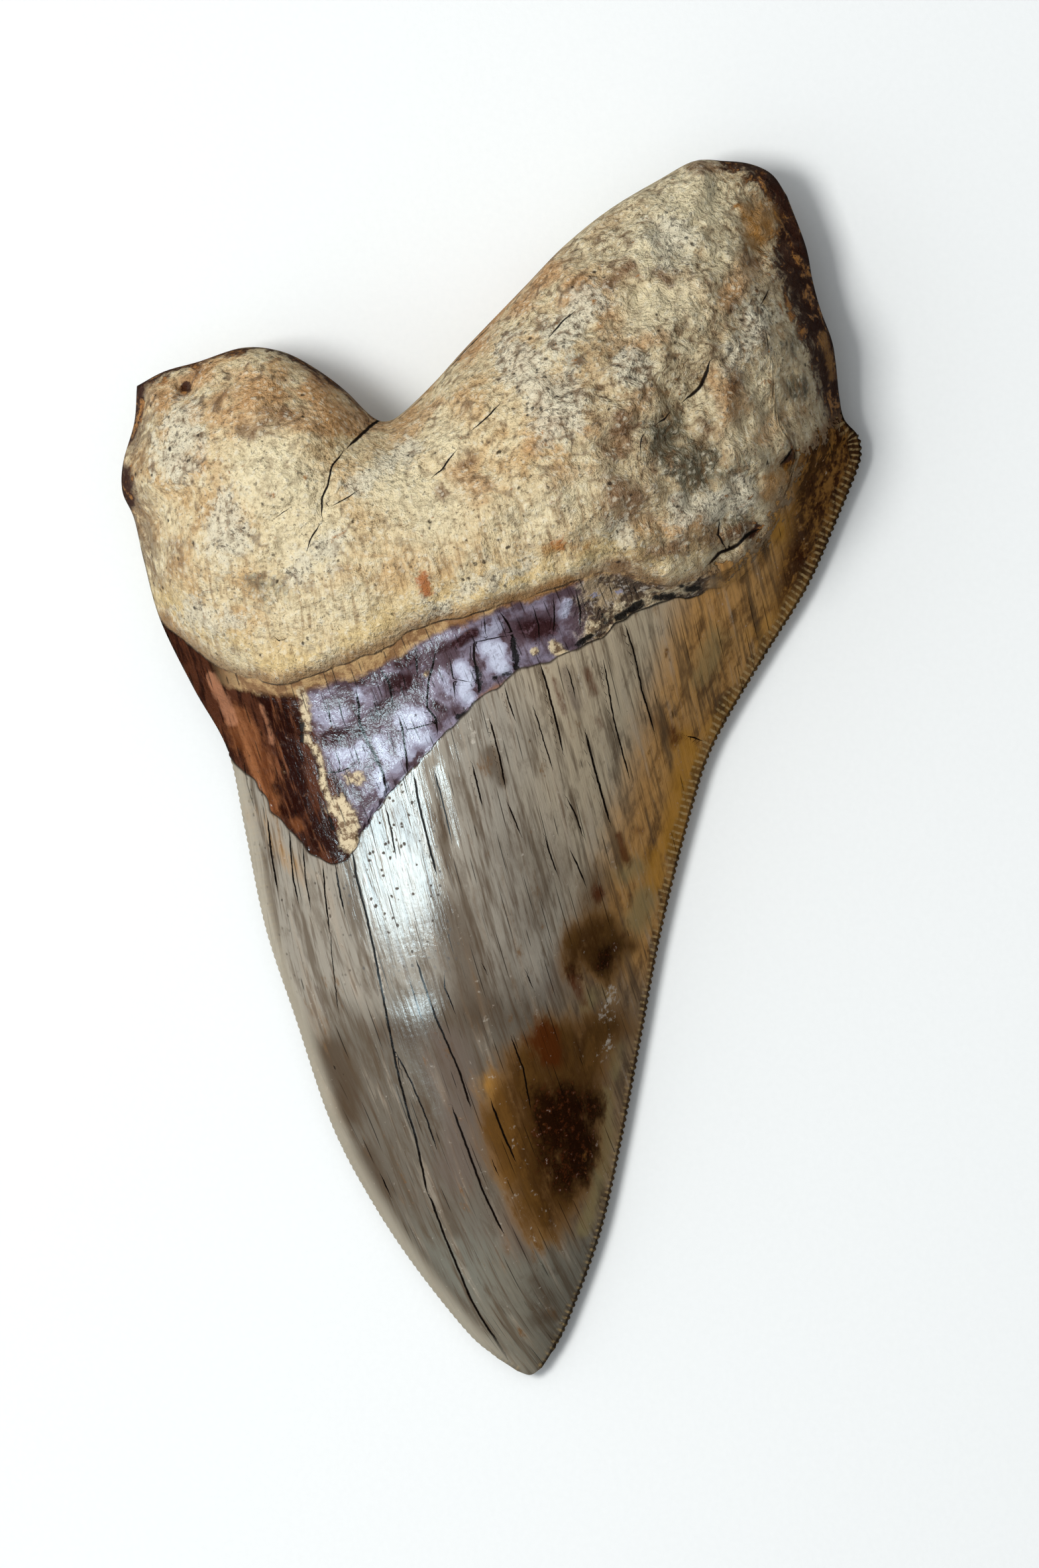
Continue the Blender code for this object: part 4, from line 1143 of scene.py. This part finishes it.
def root_finish(f):
    """Colour, roughness and height of the porous, matt root."""
    broad = f.noise(12.0, 3.0, 0.5)
    drift = f.noise(5.0, 4.0, 0.6, warp=0.6)
    mottle = f.noise(2.2, 5.0, 0.68, warp=0.5)
    grit = f.noise(0.60, 4.0, 0.75)
    sand = f.noise(0.42, 3.0, 0.7, vector=f.scale(f.spot, 1.07))
    dirt = f.noise(3.2, 3.0)
    fibre = f.streaks(f.times(f.mark("grain"), 1.7), f.times(f.y, 0.24))
    grain_gap = f.cells(0.95, f.warped(1.5, 1.0))
    pore_gap = f.cells(1.25, f.warped(0.9, 0.7))
    past_collar = f.mark("past_collar")
    low = f.fade(past_collar, 17.0, 5.0)
    to_right = f.fade(f.add(f.x, f.sway(broad, 34.0)), 0.0, 22.0)

    # Painted shade and dirt: browner in the low parts of the mottled lumps, where the bump also sinks.
    dip = f.times(
        f.fade(mottle, 0.47, 0.33), f.choose(0.5, 0.9, to_right), f.fade(low, 0.0, 1.0, 1.0, 0.55)
    )
    pale = f.patch("pale", drift, grit, 0.1, 0.8, 1.2)
    fresh = f.highest(low, pale)
    cream = f.times(
        f.fade(past_collar, 5.5, 2.0), f.fade(past_collar, 0.8, 2.0), f.fade(f.x, 24.0, 14.0)
    )
    porous = f.patch("porous", mottle, grit, 0.25, 0.75)
    speck_floor = f.add(
        f.fade(dirt, 0.36, 0.64, 0.30, 0.37), f.times(porous, 0.055), f.times(to_right, 0.02)
    )
    speck = f.fade(sand, f.add(speck_floor, 0.05), speck_floor)
    pitted = f.highest(f.fade(dirt, 0.48, 0.40), porous, f.times(to_right, 0.5))
    pore = f.times(f.fade(pore_gap, 0.24, 0.12), pitted, f.fade(grit, 0.62, 0.50))
    grime = f.times(f.fade(grit, 0.50, 0.33), f.choose(0.65, 0.45, fresh))
    seam = f.times(
        f.fade(grain_gap, 0.46, 0.80), f.fade(f.add(mottle, f.times(to_right, 0.06)), 0.40, 0.60)
    )
    soot = f.patch("soot", mottle, grit, 0.35, 0.80, 2.8)
    gilt = f.fade(f.add(mottle, f.sway(grit, 0.6)), 0.54, 0.66)
    tar = f.tint("tar", "gilt", f.times(gilt, 0.85))
    rim = f.times(
        f.fade(f.mark("rim_gap"), 3.6, 0.6), f.fade(mottle, 0.60, 0.44), f.fade(f.y, 20.0, 30.0)
    )
    crack = f.crack_lines("root_crack", 0.22)
    # Painted shade: brown along the root's lowest strip, under its rounded collar.
    foot = f.fade(f.add(past_collar, f.sway(mottle, 1.0)), 1.3, 0.1)
    colour = f.coats(
        "bone",
        ("warm bone", f.fade(drift, 0.42, 0.62)),
        ("grey bone", f.times(to_right, 0.75)),
        ("light bone", f.times(f.fade(mottle, 0.53, 0.68), 0.75)),
        ("shade and dirt in dips", dip),
        ("tan", f.times(f.patch("tan", drift, grit), 0.65)),
        ("pale bone", f.times(pale, 0.85)),
        ("ash", f.times(f.patch("ash", mottle, grit), 0.92)),
        ("earth", f.times(f.patch("earth", mottle, grit, 0.35, 1.2), 0.85)),
        ("dark fibre", f.times(f.fade(fibre, 0.50, 0.36), low, 0.60)),
        ("light fibre", f.times(f.fade(fibre, 0.54, 0.66), low, 0.55)),
        ("cream", f.times(cream, f.fade(drift, 0.36, 0.58), 0.7)),
        ("porous bone", f.times(porous, 0.7)),
        ("grime", grime),
        ("light grit", f.times(f.fade(grit, 0.54, 0.68), 0.55)),
        ("seam", f.times(seam, f.choose(0.80, 0.38, fresh))),
        ("light grain", f.times(f.fade(grain_gap, 0.34, 0.12), 0.5)),
        ("speck", f.times(speck, 0.60)),
        ("pore", f.times(pore, 0.85)),
        ("rust", f.times(f.patch("rust", grit, sand), 0.85)),
        ("brown rim", f.times(rim, 0.7)),
        (tar, f.times(soot, 0.95)),
        ("ochre", f.times(f.patch("ochre", mottle, grit), 0.75)),
        ("root crack", crack),
        ("collar shade", f.times(foot, 0.75)),
    )
    roughness = f.choose(f.fade(grit, 0.3, 0.7, 0.92, 0.70), 0.55, f.times(soot, 0.8))
    height = f.add(
        f.times(drift, 1.0), f.times(mottle, f.choose(0.7, 1.3, to_right)), f.times(grit, 0.55),
        f.times(fibre, f.times(low, 0.24)), f.times(crack, -0.30),
        f.times(grain_gap, f.choose(-0.34, -0.08, low)), -0.65,
    )
    return colour, roughness, height


def band_finish(f):
    """Colour, roughness and height of the dark, glazed neck band."""
    slope = f.add(f.mark("grain"), f.times(f.y, 0.16))
    streak = f.streaks(f.times(slope, 1.1), f.times(f.y, 0.12), 4.0, 0.65)
    cloud = f.noise(2.4, 4.0, 0.65)
    flake = f.noise(0.7, 4.0, 0.7)
    # Painted reflection of the sky on the plates, laid on through the gleam patches.
    gleam = f.patch("gleam", cloud, flake, 0.42, 0.72, 1.5)
    plate = f.tint("dull reflection", "bright reflection", f.fade(f.mark("gleam"), 0.75, 1.15))
    to_right = f.fade(f.add(f.x, f.sway(cloud, 6.0)), 5.0, 8.5)
    chips = f.coats(
        "chip",
        ("dark chip", f.fade(cloud, 0.54, 0.44)), ("pale chip", f.fade(flake, 0.52, 0.66)),
    )
    wedge = f.fade(f.add(f.x, f.times(f.y, 0.27), f.sway(cloud, 2.0)), -18.6, -20.2)
    glow = f.tint("dull orange", "orange", f.fade(streak, 0.36, 0.66))
    char = f.coats(
        "umber",
        ("light umber", f.fade(streak, 0.50, 0.66)),
        ("umber flake", f.fade(flake, 0.58, 0.70, 0.0, 0.4)),
    )
    tan_width = f.fade(f.x, -12.0, 0.0, -1.8, -0.6)
    tan = f.fade(f.add(f.mark("past_collar"), f.sway(cloud, 1.4)), tan_width, f.add(tan_width, 0.7))
    tan = f.times(tan, f.fade(f.x, -32.0, -28.0), f.fade(f.x, 20.0, 16.0))
    # Pale chips and strips, with one painted glint among them.
    chalk = f.patch("chalk", cloud, flake, 0.35, 0.85, 1.8)
    bone = f.tint("chalk", "dark chalk", f.fade(flake, 0.54, 0.40))
    cracks = f.crack_lines("crack", 0.20)
    hairs = f.short_lines(slope, f.y, 1.1, 4.0, 0.10, 0.75, 3.0)
    fine = f.short_lines(slope, f.y, 0.55, 2.6, 0.06, 0.6, 4.0)
    # Dark gaps, with painted shade under the plates' lower edges.
    gaps = f.patch("gaps", flake, cloud, 0.40, 0.85, 2.4)
    colour = f.coats(
        "glaze",
        # Painted sheen: lighter lavender mottling where the glaze reflects the sky.
        ("glaze sheen", f.fade(cloud, 0.40, 0.62)),
        ("dark streak", f.times(f.fade(streak, 0.48, 0.34), 0.6)),
        (plate, f.times(gleam, f.fade(flake, 0.34, 0.50, 0.6, 0.97))),
        (
            f.tint("plum", "light plum", f.fade(flake, 0.5, 0.66)),
            f.patch("plum", cloud, flake, 0.35, 0.95, 1.6),
        ),
        (chips, f.times(to_right, f.fade(gleam, 1.0, 0.4))),
        (f.tint("wedge", "dark wedge", f.fade(streak, 0.52, 0.42)), wedge),
        (glow, f.times(f.patch("orange", cloud, flake, 0.20, 0.90, 1.6), 0.9)),
        ("blush", f.times(f.patch("blush", streak, flake, 0.30, 0.80, 1.2), 0.75)),
        (char, f.patch("umber", cloud, flake, 0.25, 0.90, 1.8)),
        (f.tint("tan strip", "dark tan strip", f.fade(cloud, 0.56, 0.44)), tan),
        (bone, f.times(chalk, 0.95)),
        ("dull ochre", f.times(f.patch("ochre", cloud, flake), 0.7)),
        ("band crack and shade", f.highest(cracks, f.times(hairs, 0.7), f.times(fine, 0.45), f.times(gaps, 0.97))),
    )
    matt = f.highest(chalk, f.times(tan, 0.9), gaps, to_right)
    roughness = f.choose(f.fade(flake, 0.3, 0.7, 0.20, 0.34), 0.70, matt)
    height = f.add(
        f.times(cloud, 0.34), f.times(flake, 0.025), f.times(streak, 0.06),
        f.times(gaps, -0.3), f.times(flake, matt, 0.2),
        f.times(wedge, streak, 0.08), f.times(to_right, cloud, 0.5),
    )
    return colour, roughness, height


def enamel_finish(f):
    """Colour, roughness and height of the glossy, stained and crazed enamel."""
    grain = f.mark("grain")
    along = f.vector(grain, f.times(f.y, 0.30), f.z)
    silk = f.streaks(f.times(grain, 0.75), f.times(f.y, 0.06), 4.0, 0.65)
    fine_silk = f.streaks(f.times(grain, 2.4), f.times(f.y, 0.14))
    cloud = f.noise(8.0, 4.0, 0.6, vector=along)
    mist = f.noise(2.2, 5.0, 0.68, vector=along)
    fleck = f.noise(0.6, 3.0, 0.6)
    down = f.fade(f.add(f.y, f.sway(cloud, 10.0)), -17.5, -24.0)
    far_down = f.fade(f.add(f.y, f.sway(cloud, 10.0)), -42.0, -50.0)
    right = f.fade(f.add(f.less(grain, 9.0), f.sway(cloud, 12.0)), -14.0, -2.0)
    far_right = f.fade(f.add(f.x, f.times(f.y, -0.45), f.sway(mist, 5.0)), 7.0, 13.0)
    burn = f.times(far_right, f.fade(f.add(mist, f.sway(silk, 0.5)), 0.62, 0.34))
    colour = f.coats(
        "enamel",
        ("warm enamel", right),
        ("gold enamel", far_right),
        ("burn", f.times(burn, 0.65)),
        ("lower enamel", f.times(down, f.choose(0.95, 0.7, far_right))),
        ("tip enamel", f.times(far_down, 0.85)),
        ("dark silk", f.times(f.fade(silk, 0.50, 0.36), 0.70)),
        ("light silk", f.times(f.fade(silk, 0.54, 0.68), 0.40)),
        ("dark thread", f.times(f.fade(fine_silk, 0.48, 0.34), 0.55)),
        ("mist", f.times(f.fade(mist, 0.48, 0.34), 0.45)),
    )
    for name, share in ENAMEL_TINTS.items():
        colour = f.tint(colour, name, f.times(f.patch(name, mist, silk, 0.15, 1.10, 1.6), share))

    halo = f.patch("stain", silk, mist, 0.0, 0.75, 1.6)
    stain = f.patch("stain", mist, silk, 0.30, 1.05, 2.2)
    honey = f.times(f.patch("amber", mist, silk), stain)
    ember = f.tint("core", "ember", f.fade(fleck, 0.50, 0.68))
    sear = f.fade(f.add(mist, f.times(fleck, 0.5)), 0.70, 0.90)
    cracks = f.crack_lines("crack", 0.17)
    hairs = f.short_lines(grain, f.y, 1.5, 9.0, 0.07, 0.6, 1.0)
    faint = f.short_lines(grain, f.y, 0.7, 6.0, 0.045, 0.5, 2.0)
    dark = f.highest(cracks, f.times(hairs, 0.75), f.times(faint, 0.45))
    picks = f.times(
        f.fade(f.cells(0.9, f.warped(1.2, 0.6)), 0.24, 0.12), f.fade(cloud, 0.42, 0.54),
        f.fade(f.x, -9.0, -12.0), f.fade(f.y, -21.0, -15.0),
    )
    colour = f.coats(
        colour,
        ("stain halo", f.times(halo, 0.8)),
        (f.tint("stain", "light stain", f.fade(mist, 0.36, 0.66)), f.times(stain, 0.95)),
        ("honey", f.times(honey, f.fade(silk, 0.30, 0.66), 0.7)),
        ("russet", f.times(f.patch("russet", mist, silk, 0.25, 1.05), 0.85)),
        (ember, f.times(f.patch("core", mist, fleck, 0.25, 1.05, 2.2), 0.92)),
        (
            f.tint("scorch", "light scorch", sear),
            f.times(f.patch("scorch", mist, fleck, 0.25, 0.85, 1.8), 0.9),
        ),
        # Pale enamel, and along one crack a painted highlight on its lit edge.
        ("milk", f.times(f.patch("milk", fleck, silk, 0.40, 0.90, 2.6), 0.7)),
        ("enamel crack", dark),
        ("pick", f.times(picks, 0.8)),
    )

    gap = f.mark("rim_gap")
    run = f.add(f.mark("rim_run"), f.sway(mist, 0.5))
    wave = f.math("SINE", f.times(run, 2 * pi / SERRATION_PITCH))
    ragged = f.add(f.sway(mist, 2.0), f.fade(f.y, -8.0, -22.0, 0.0, 0.7))
    in_teeth = f.fade(f.add(gap, ragged), 1.5, 0.8)
    bars = f.times(f.fade(wave, 0.0, 0.8), in_teeth, f.fade(fleck, 0.36, 0.54, 0.15, 1.0))
    on_right = f.fade(f.x, -14.0, -8.0, 0.15, 1.0)
    # Painted highlight: a soft light rim along the left cutting edge.
    lit_rim = f.times(f.fade(gap, 1.8, 0.4), f.less(1.0, on_right))
    # Painted shadow: a dark line along the enamel's border with the band, where its ledge steps down.
    ledge = f.fade(f.mark("past_enamel"), -0.28, -0.05)
    colour = f.coats(
        colour,
        ("between teeth", f.times(in_teeth, on_right, 0.45)),
        ("crest of teeth", f.times(bars, on_right, 0.70)),
        # Painted shadow along the outermost strip of the right cutting edge.
        ("shadow beyond edge", f.times(f.fade(gap, 0.34, 0.12), on_right, 0.8)),
        ("light rim", f.times(lit_rim, 0.8)),
        ("shadow under ledge", f.times(ledge, f.fade(f.x, 20.0, 18.0), 0.85)),
    )

    lit = f.times(f.fade(f.x, -8.0, -11.0), f.fade(f.x, -22.0, -19.5), f.fade(f.y, -21.0, -16.0))
    roughness = f.add(f.fade(mist, 0.3, 0.7, 0.12, 0.22), f.times(f.highest(picks, dark), lit, 0.6))
    fluted = f.fade(f.y, -12.0, 0.0, 0.08, 0.16)
    height = f.add(
        f.times(cloud, 0.14), f.times(silk, fluted), f.times(fine_silk, 0.03), f.times(fleck, 0.015),
    )
    return colour, roughness, height


def fossil_material():
    """The one material of the tooth, made of its three finishes."""
    f = Finish("fossil_tooth")
    crumble = f.times(f.less(f.noise(1.4, 4.0, 0.7), 0.5), f.fade(f.x, 17.0, 23.0, 0.3, 7.0))
    on_root = f.fade(f.add(f.mark("past_collar"), crumble), -0.12, 0.12)
    on_band = f.times(
        f.fade(f.mark("past_enamel"), -0.08, 0.08), f.mark("upper"), f.fade(f.x, 22.5, 19.0)
    )
    colour, roughness, height = (
        mix(mix(enamel, band, on_band), root, on_root)
        for mix, enamel, band, root in zip(
            (f.tint, f.choose, f.choose), enamel_finish(f), band_finish(f), root_finish(f)
        )
    )
    bump = f.node("ShaderNodeBump", Strength=1.0, Distance=MM, Height=height)
    f.plug(colour, f.surface.inputs["Base Color"])
    f.plug(roughness, f.surface.inputs["Roughness"])
    f.plug(bump.outputs["Normal"], f.surface.inputs["Normal"])
    f.surface.inputs["Specular IOR Level"].default_value = SHINE
    return f.material


def floor_material():
    """Matt white table top."""
    f = Finish("white_table")
    white = f.tint(FLOOR_WHITE, FLOOR_SHADE, f.fade(f.noise(0.7), 0.3, 0.7))
    f.plug(white, f.surface.inputs["Base Color"])
    f.surface.inputs["Roughness"].default_value = FLOOR_ROUGHNESS
    bump = f.node("ShaderNodeBump", Strength=0.4, Distance=MM, Height=f.times(f.noise(0.6), 0.05))
    f.plug(bump.outputs["Normal"], f.surface.inputs["Normal"])
    return f.material


def add_floor():
    """Lay the plain table top under the tooth."""
    mesh = bmesh.new()
    bmesh.ops.create_grid(mesh, x_segments=1, y_segments=1, size=FLOOR_HALF)
    data = keep_mesh(mesh, "floor")
    data.materials.append(floor_material())
    floor = set_down("floor", data)
    floor.visible_glossy = False


def add_softbox(name, setting):
    """Soft light that shines on the middle of the tooth from a direction."""
    direction, side, distance, width, height, brightness, colour, lights, glints = setting
    light = bpy.data.lights.new(name, "AREA")
    light.shape = "RECTANGLE"
    light.size = width
    light.size_y = height
    light.energy = brightness * pi * width * height
    light.color = colour
    lamp = set_down(name, light)
    back = Vector(direction).normalized()
    up = back.cross(Vector(side)).normalized()
    lamp.rotation_euler = Matrix((up.cross(back), up, back)).transposed().to_euler()
    lamp.location = Vector(LIT_PLACE) * MM + back * distance
    lamp.visible_camera = False
    lamp.visible_diffuse = lights
    lamp.visible_glossy = glints


def add_camera():
    """Look straight down, turned a little about the upright."""
    data = bpy.data.cameras.new("camera")
    data.sensor_width = SENSOR
    data.lens = SENSOR * CAMERA_HEIGHT / VIEW_HEIGHT
    data.clip_start, data.clip_end = CAMERA_CLIP
    camera = set_down("camera", data)
    camera.location = Vector((*VIEW_CENTRE, CAMERA_HEIGHT)) * MM
    camera.rotation_euler = (0.0, 0.0, radians(VIEW_TURN))
    bpy.context.scene.camera = camera


def add_world():
    """Studio sky, brighter on one side, that lights but doesn't glint."""
    world = bpy.data.worlds.new("studio")
    world.use_nodes = True
    nodes, links = world.node_tree.nodes, world.node_tree.links
    way = nodes.new("ShaderNodeTexCoord")
    towards = nodes.new("ShaderNodeVectorMath")
    towards.operation = "DOT_PRODUCT"
    towards.inputs[1].default_value = Vector(SKY_SIDE).normalized()
    share = nodes.new("ShaderNodeMapRange")
    share.interpolation_type = "SMOOTHSTEP"
    blend = nodes.new("ShaderNodeMix")
    blend.data_type = "RGBA"
    blend.inputs[6].default_value = SKY_DIM
    blend.inputs[7].default_value = SKY_BRIGHT
    links.new(way.outputs["Generated"], towards.inputs[0])
    links.new(towards.outputs["Value"], share.inputs["Value"])
    links.new(share.outputs["Result"], blend.inputs[0])
    links.new(blend.outputs[2], nodes["Background"].inputs["Color"])
    world.cycles_visibility.glossy = False
    bpy.context.scene.world = world
    bpy.context.scene.view_settings.view_transform = "Standard"


tooth = build_tooth()
tooth.data.materials.append(fossil_material())
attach(tooth, "root")
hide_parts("tooth")
add_floor()
for name, setting in SOFTBOXES.items():
    add_softbox(name, setting)
add_camera()
add_world()
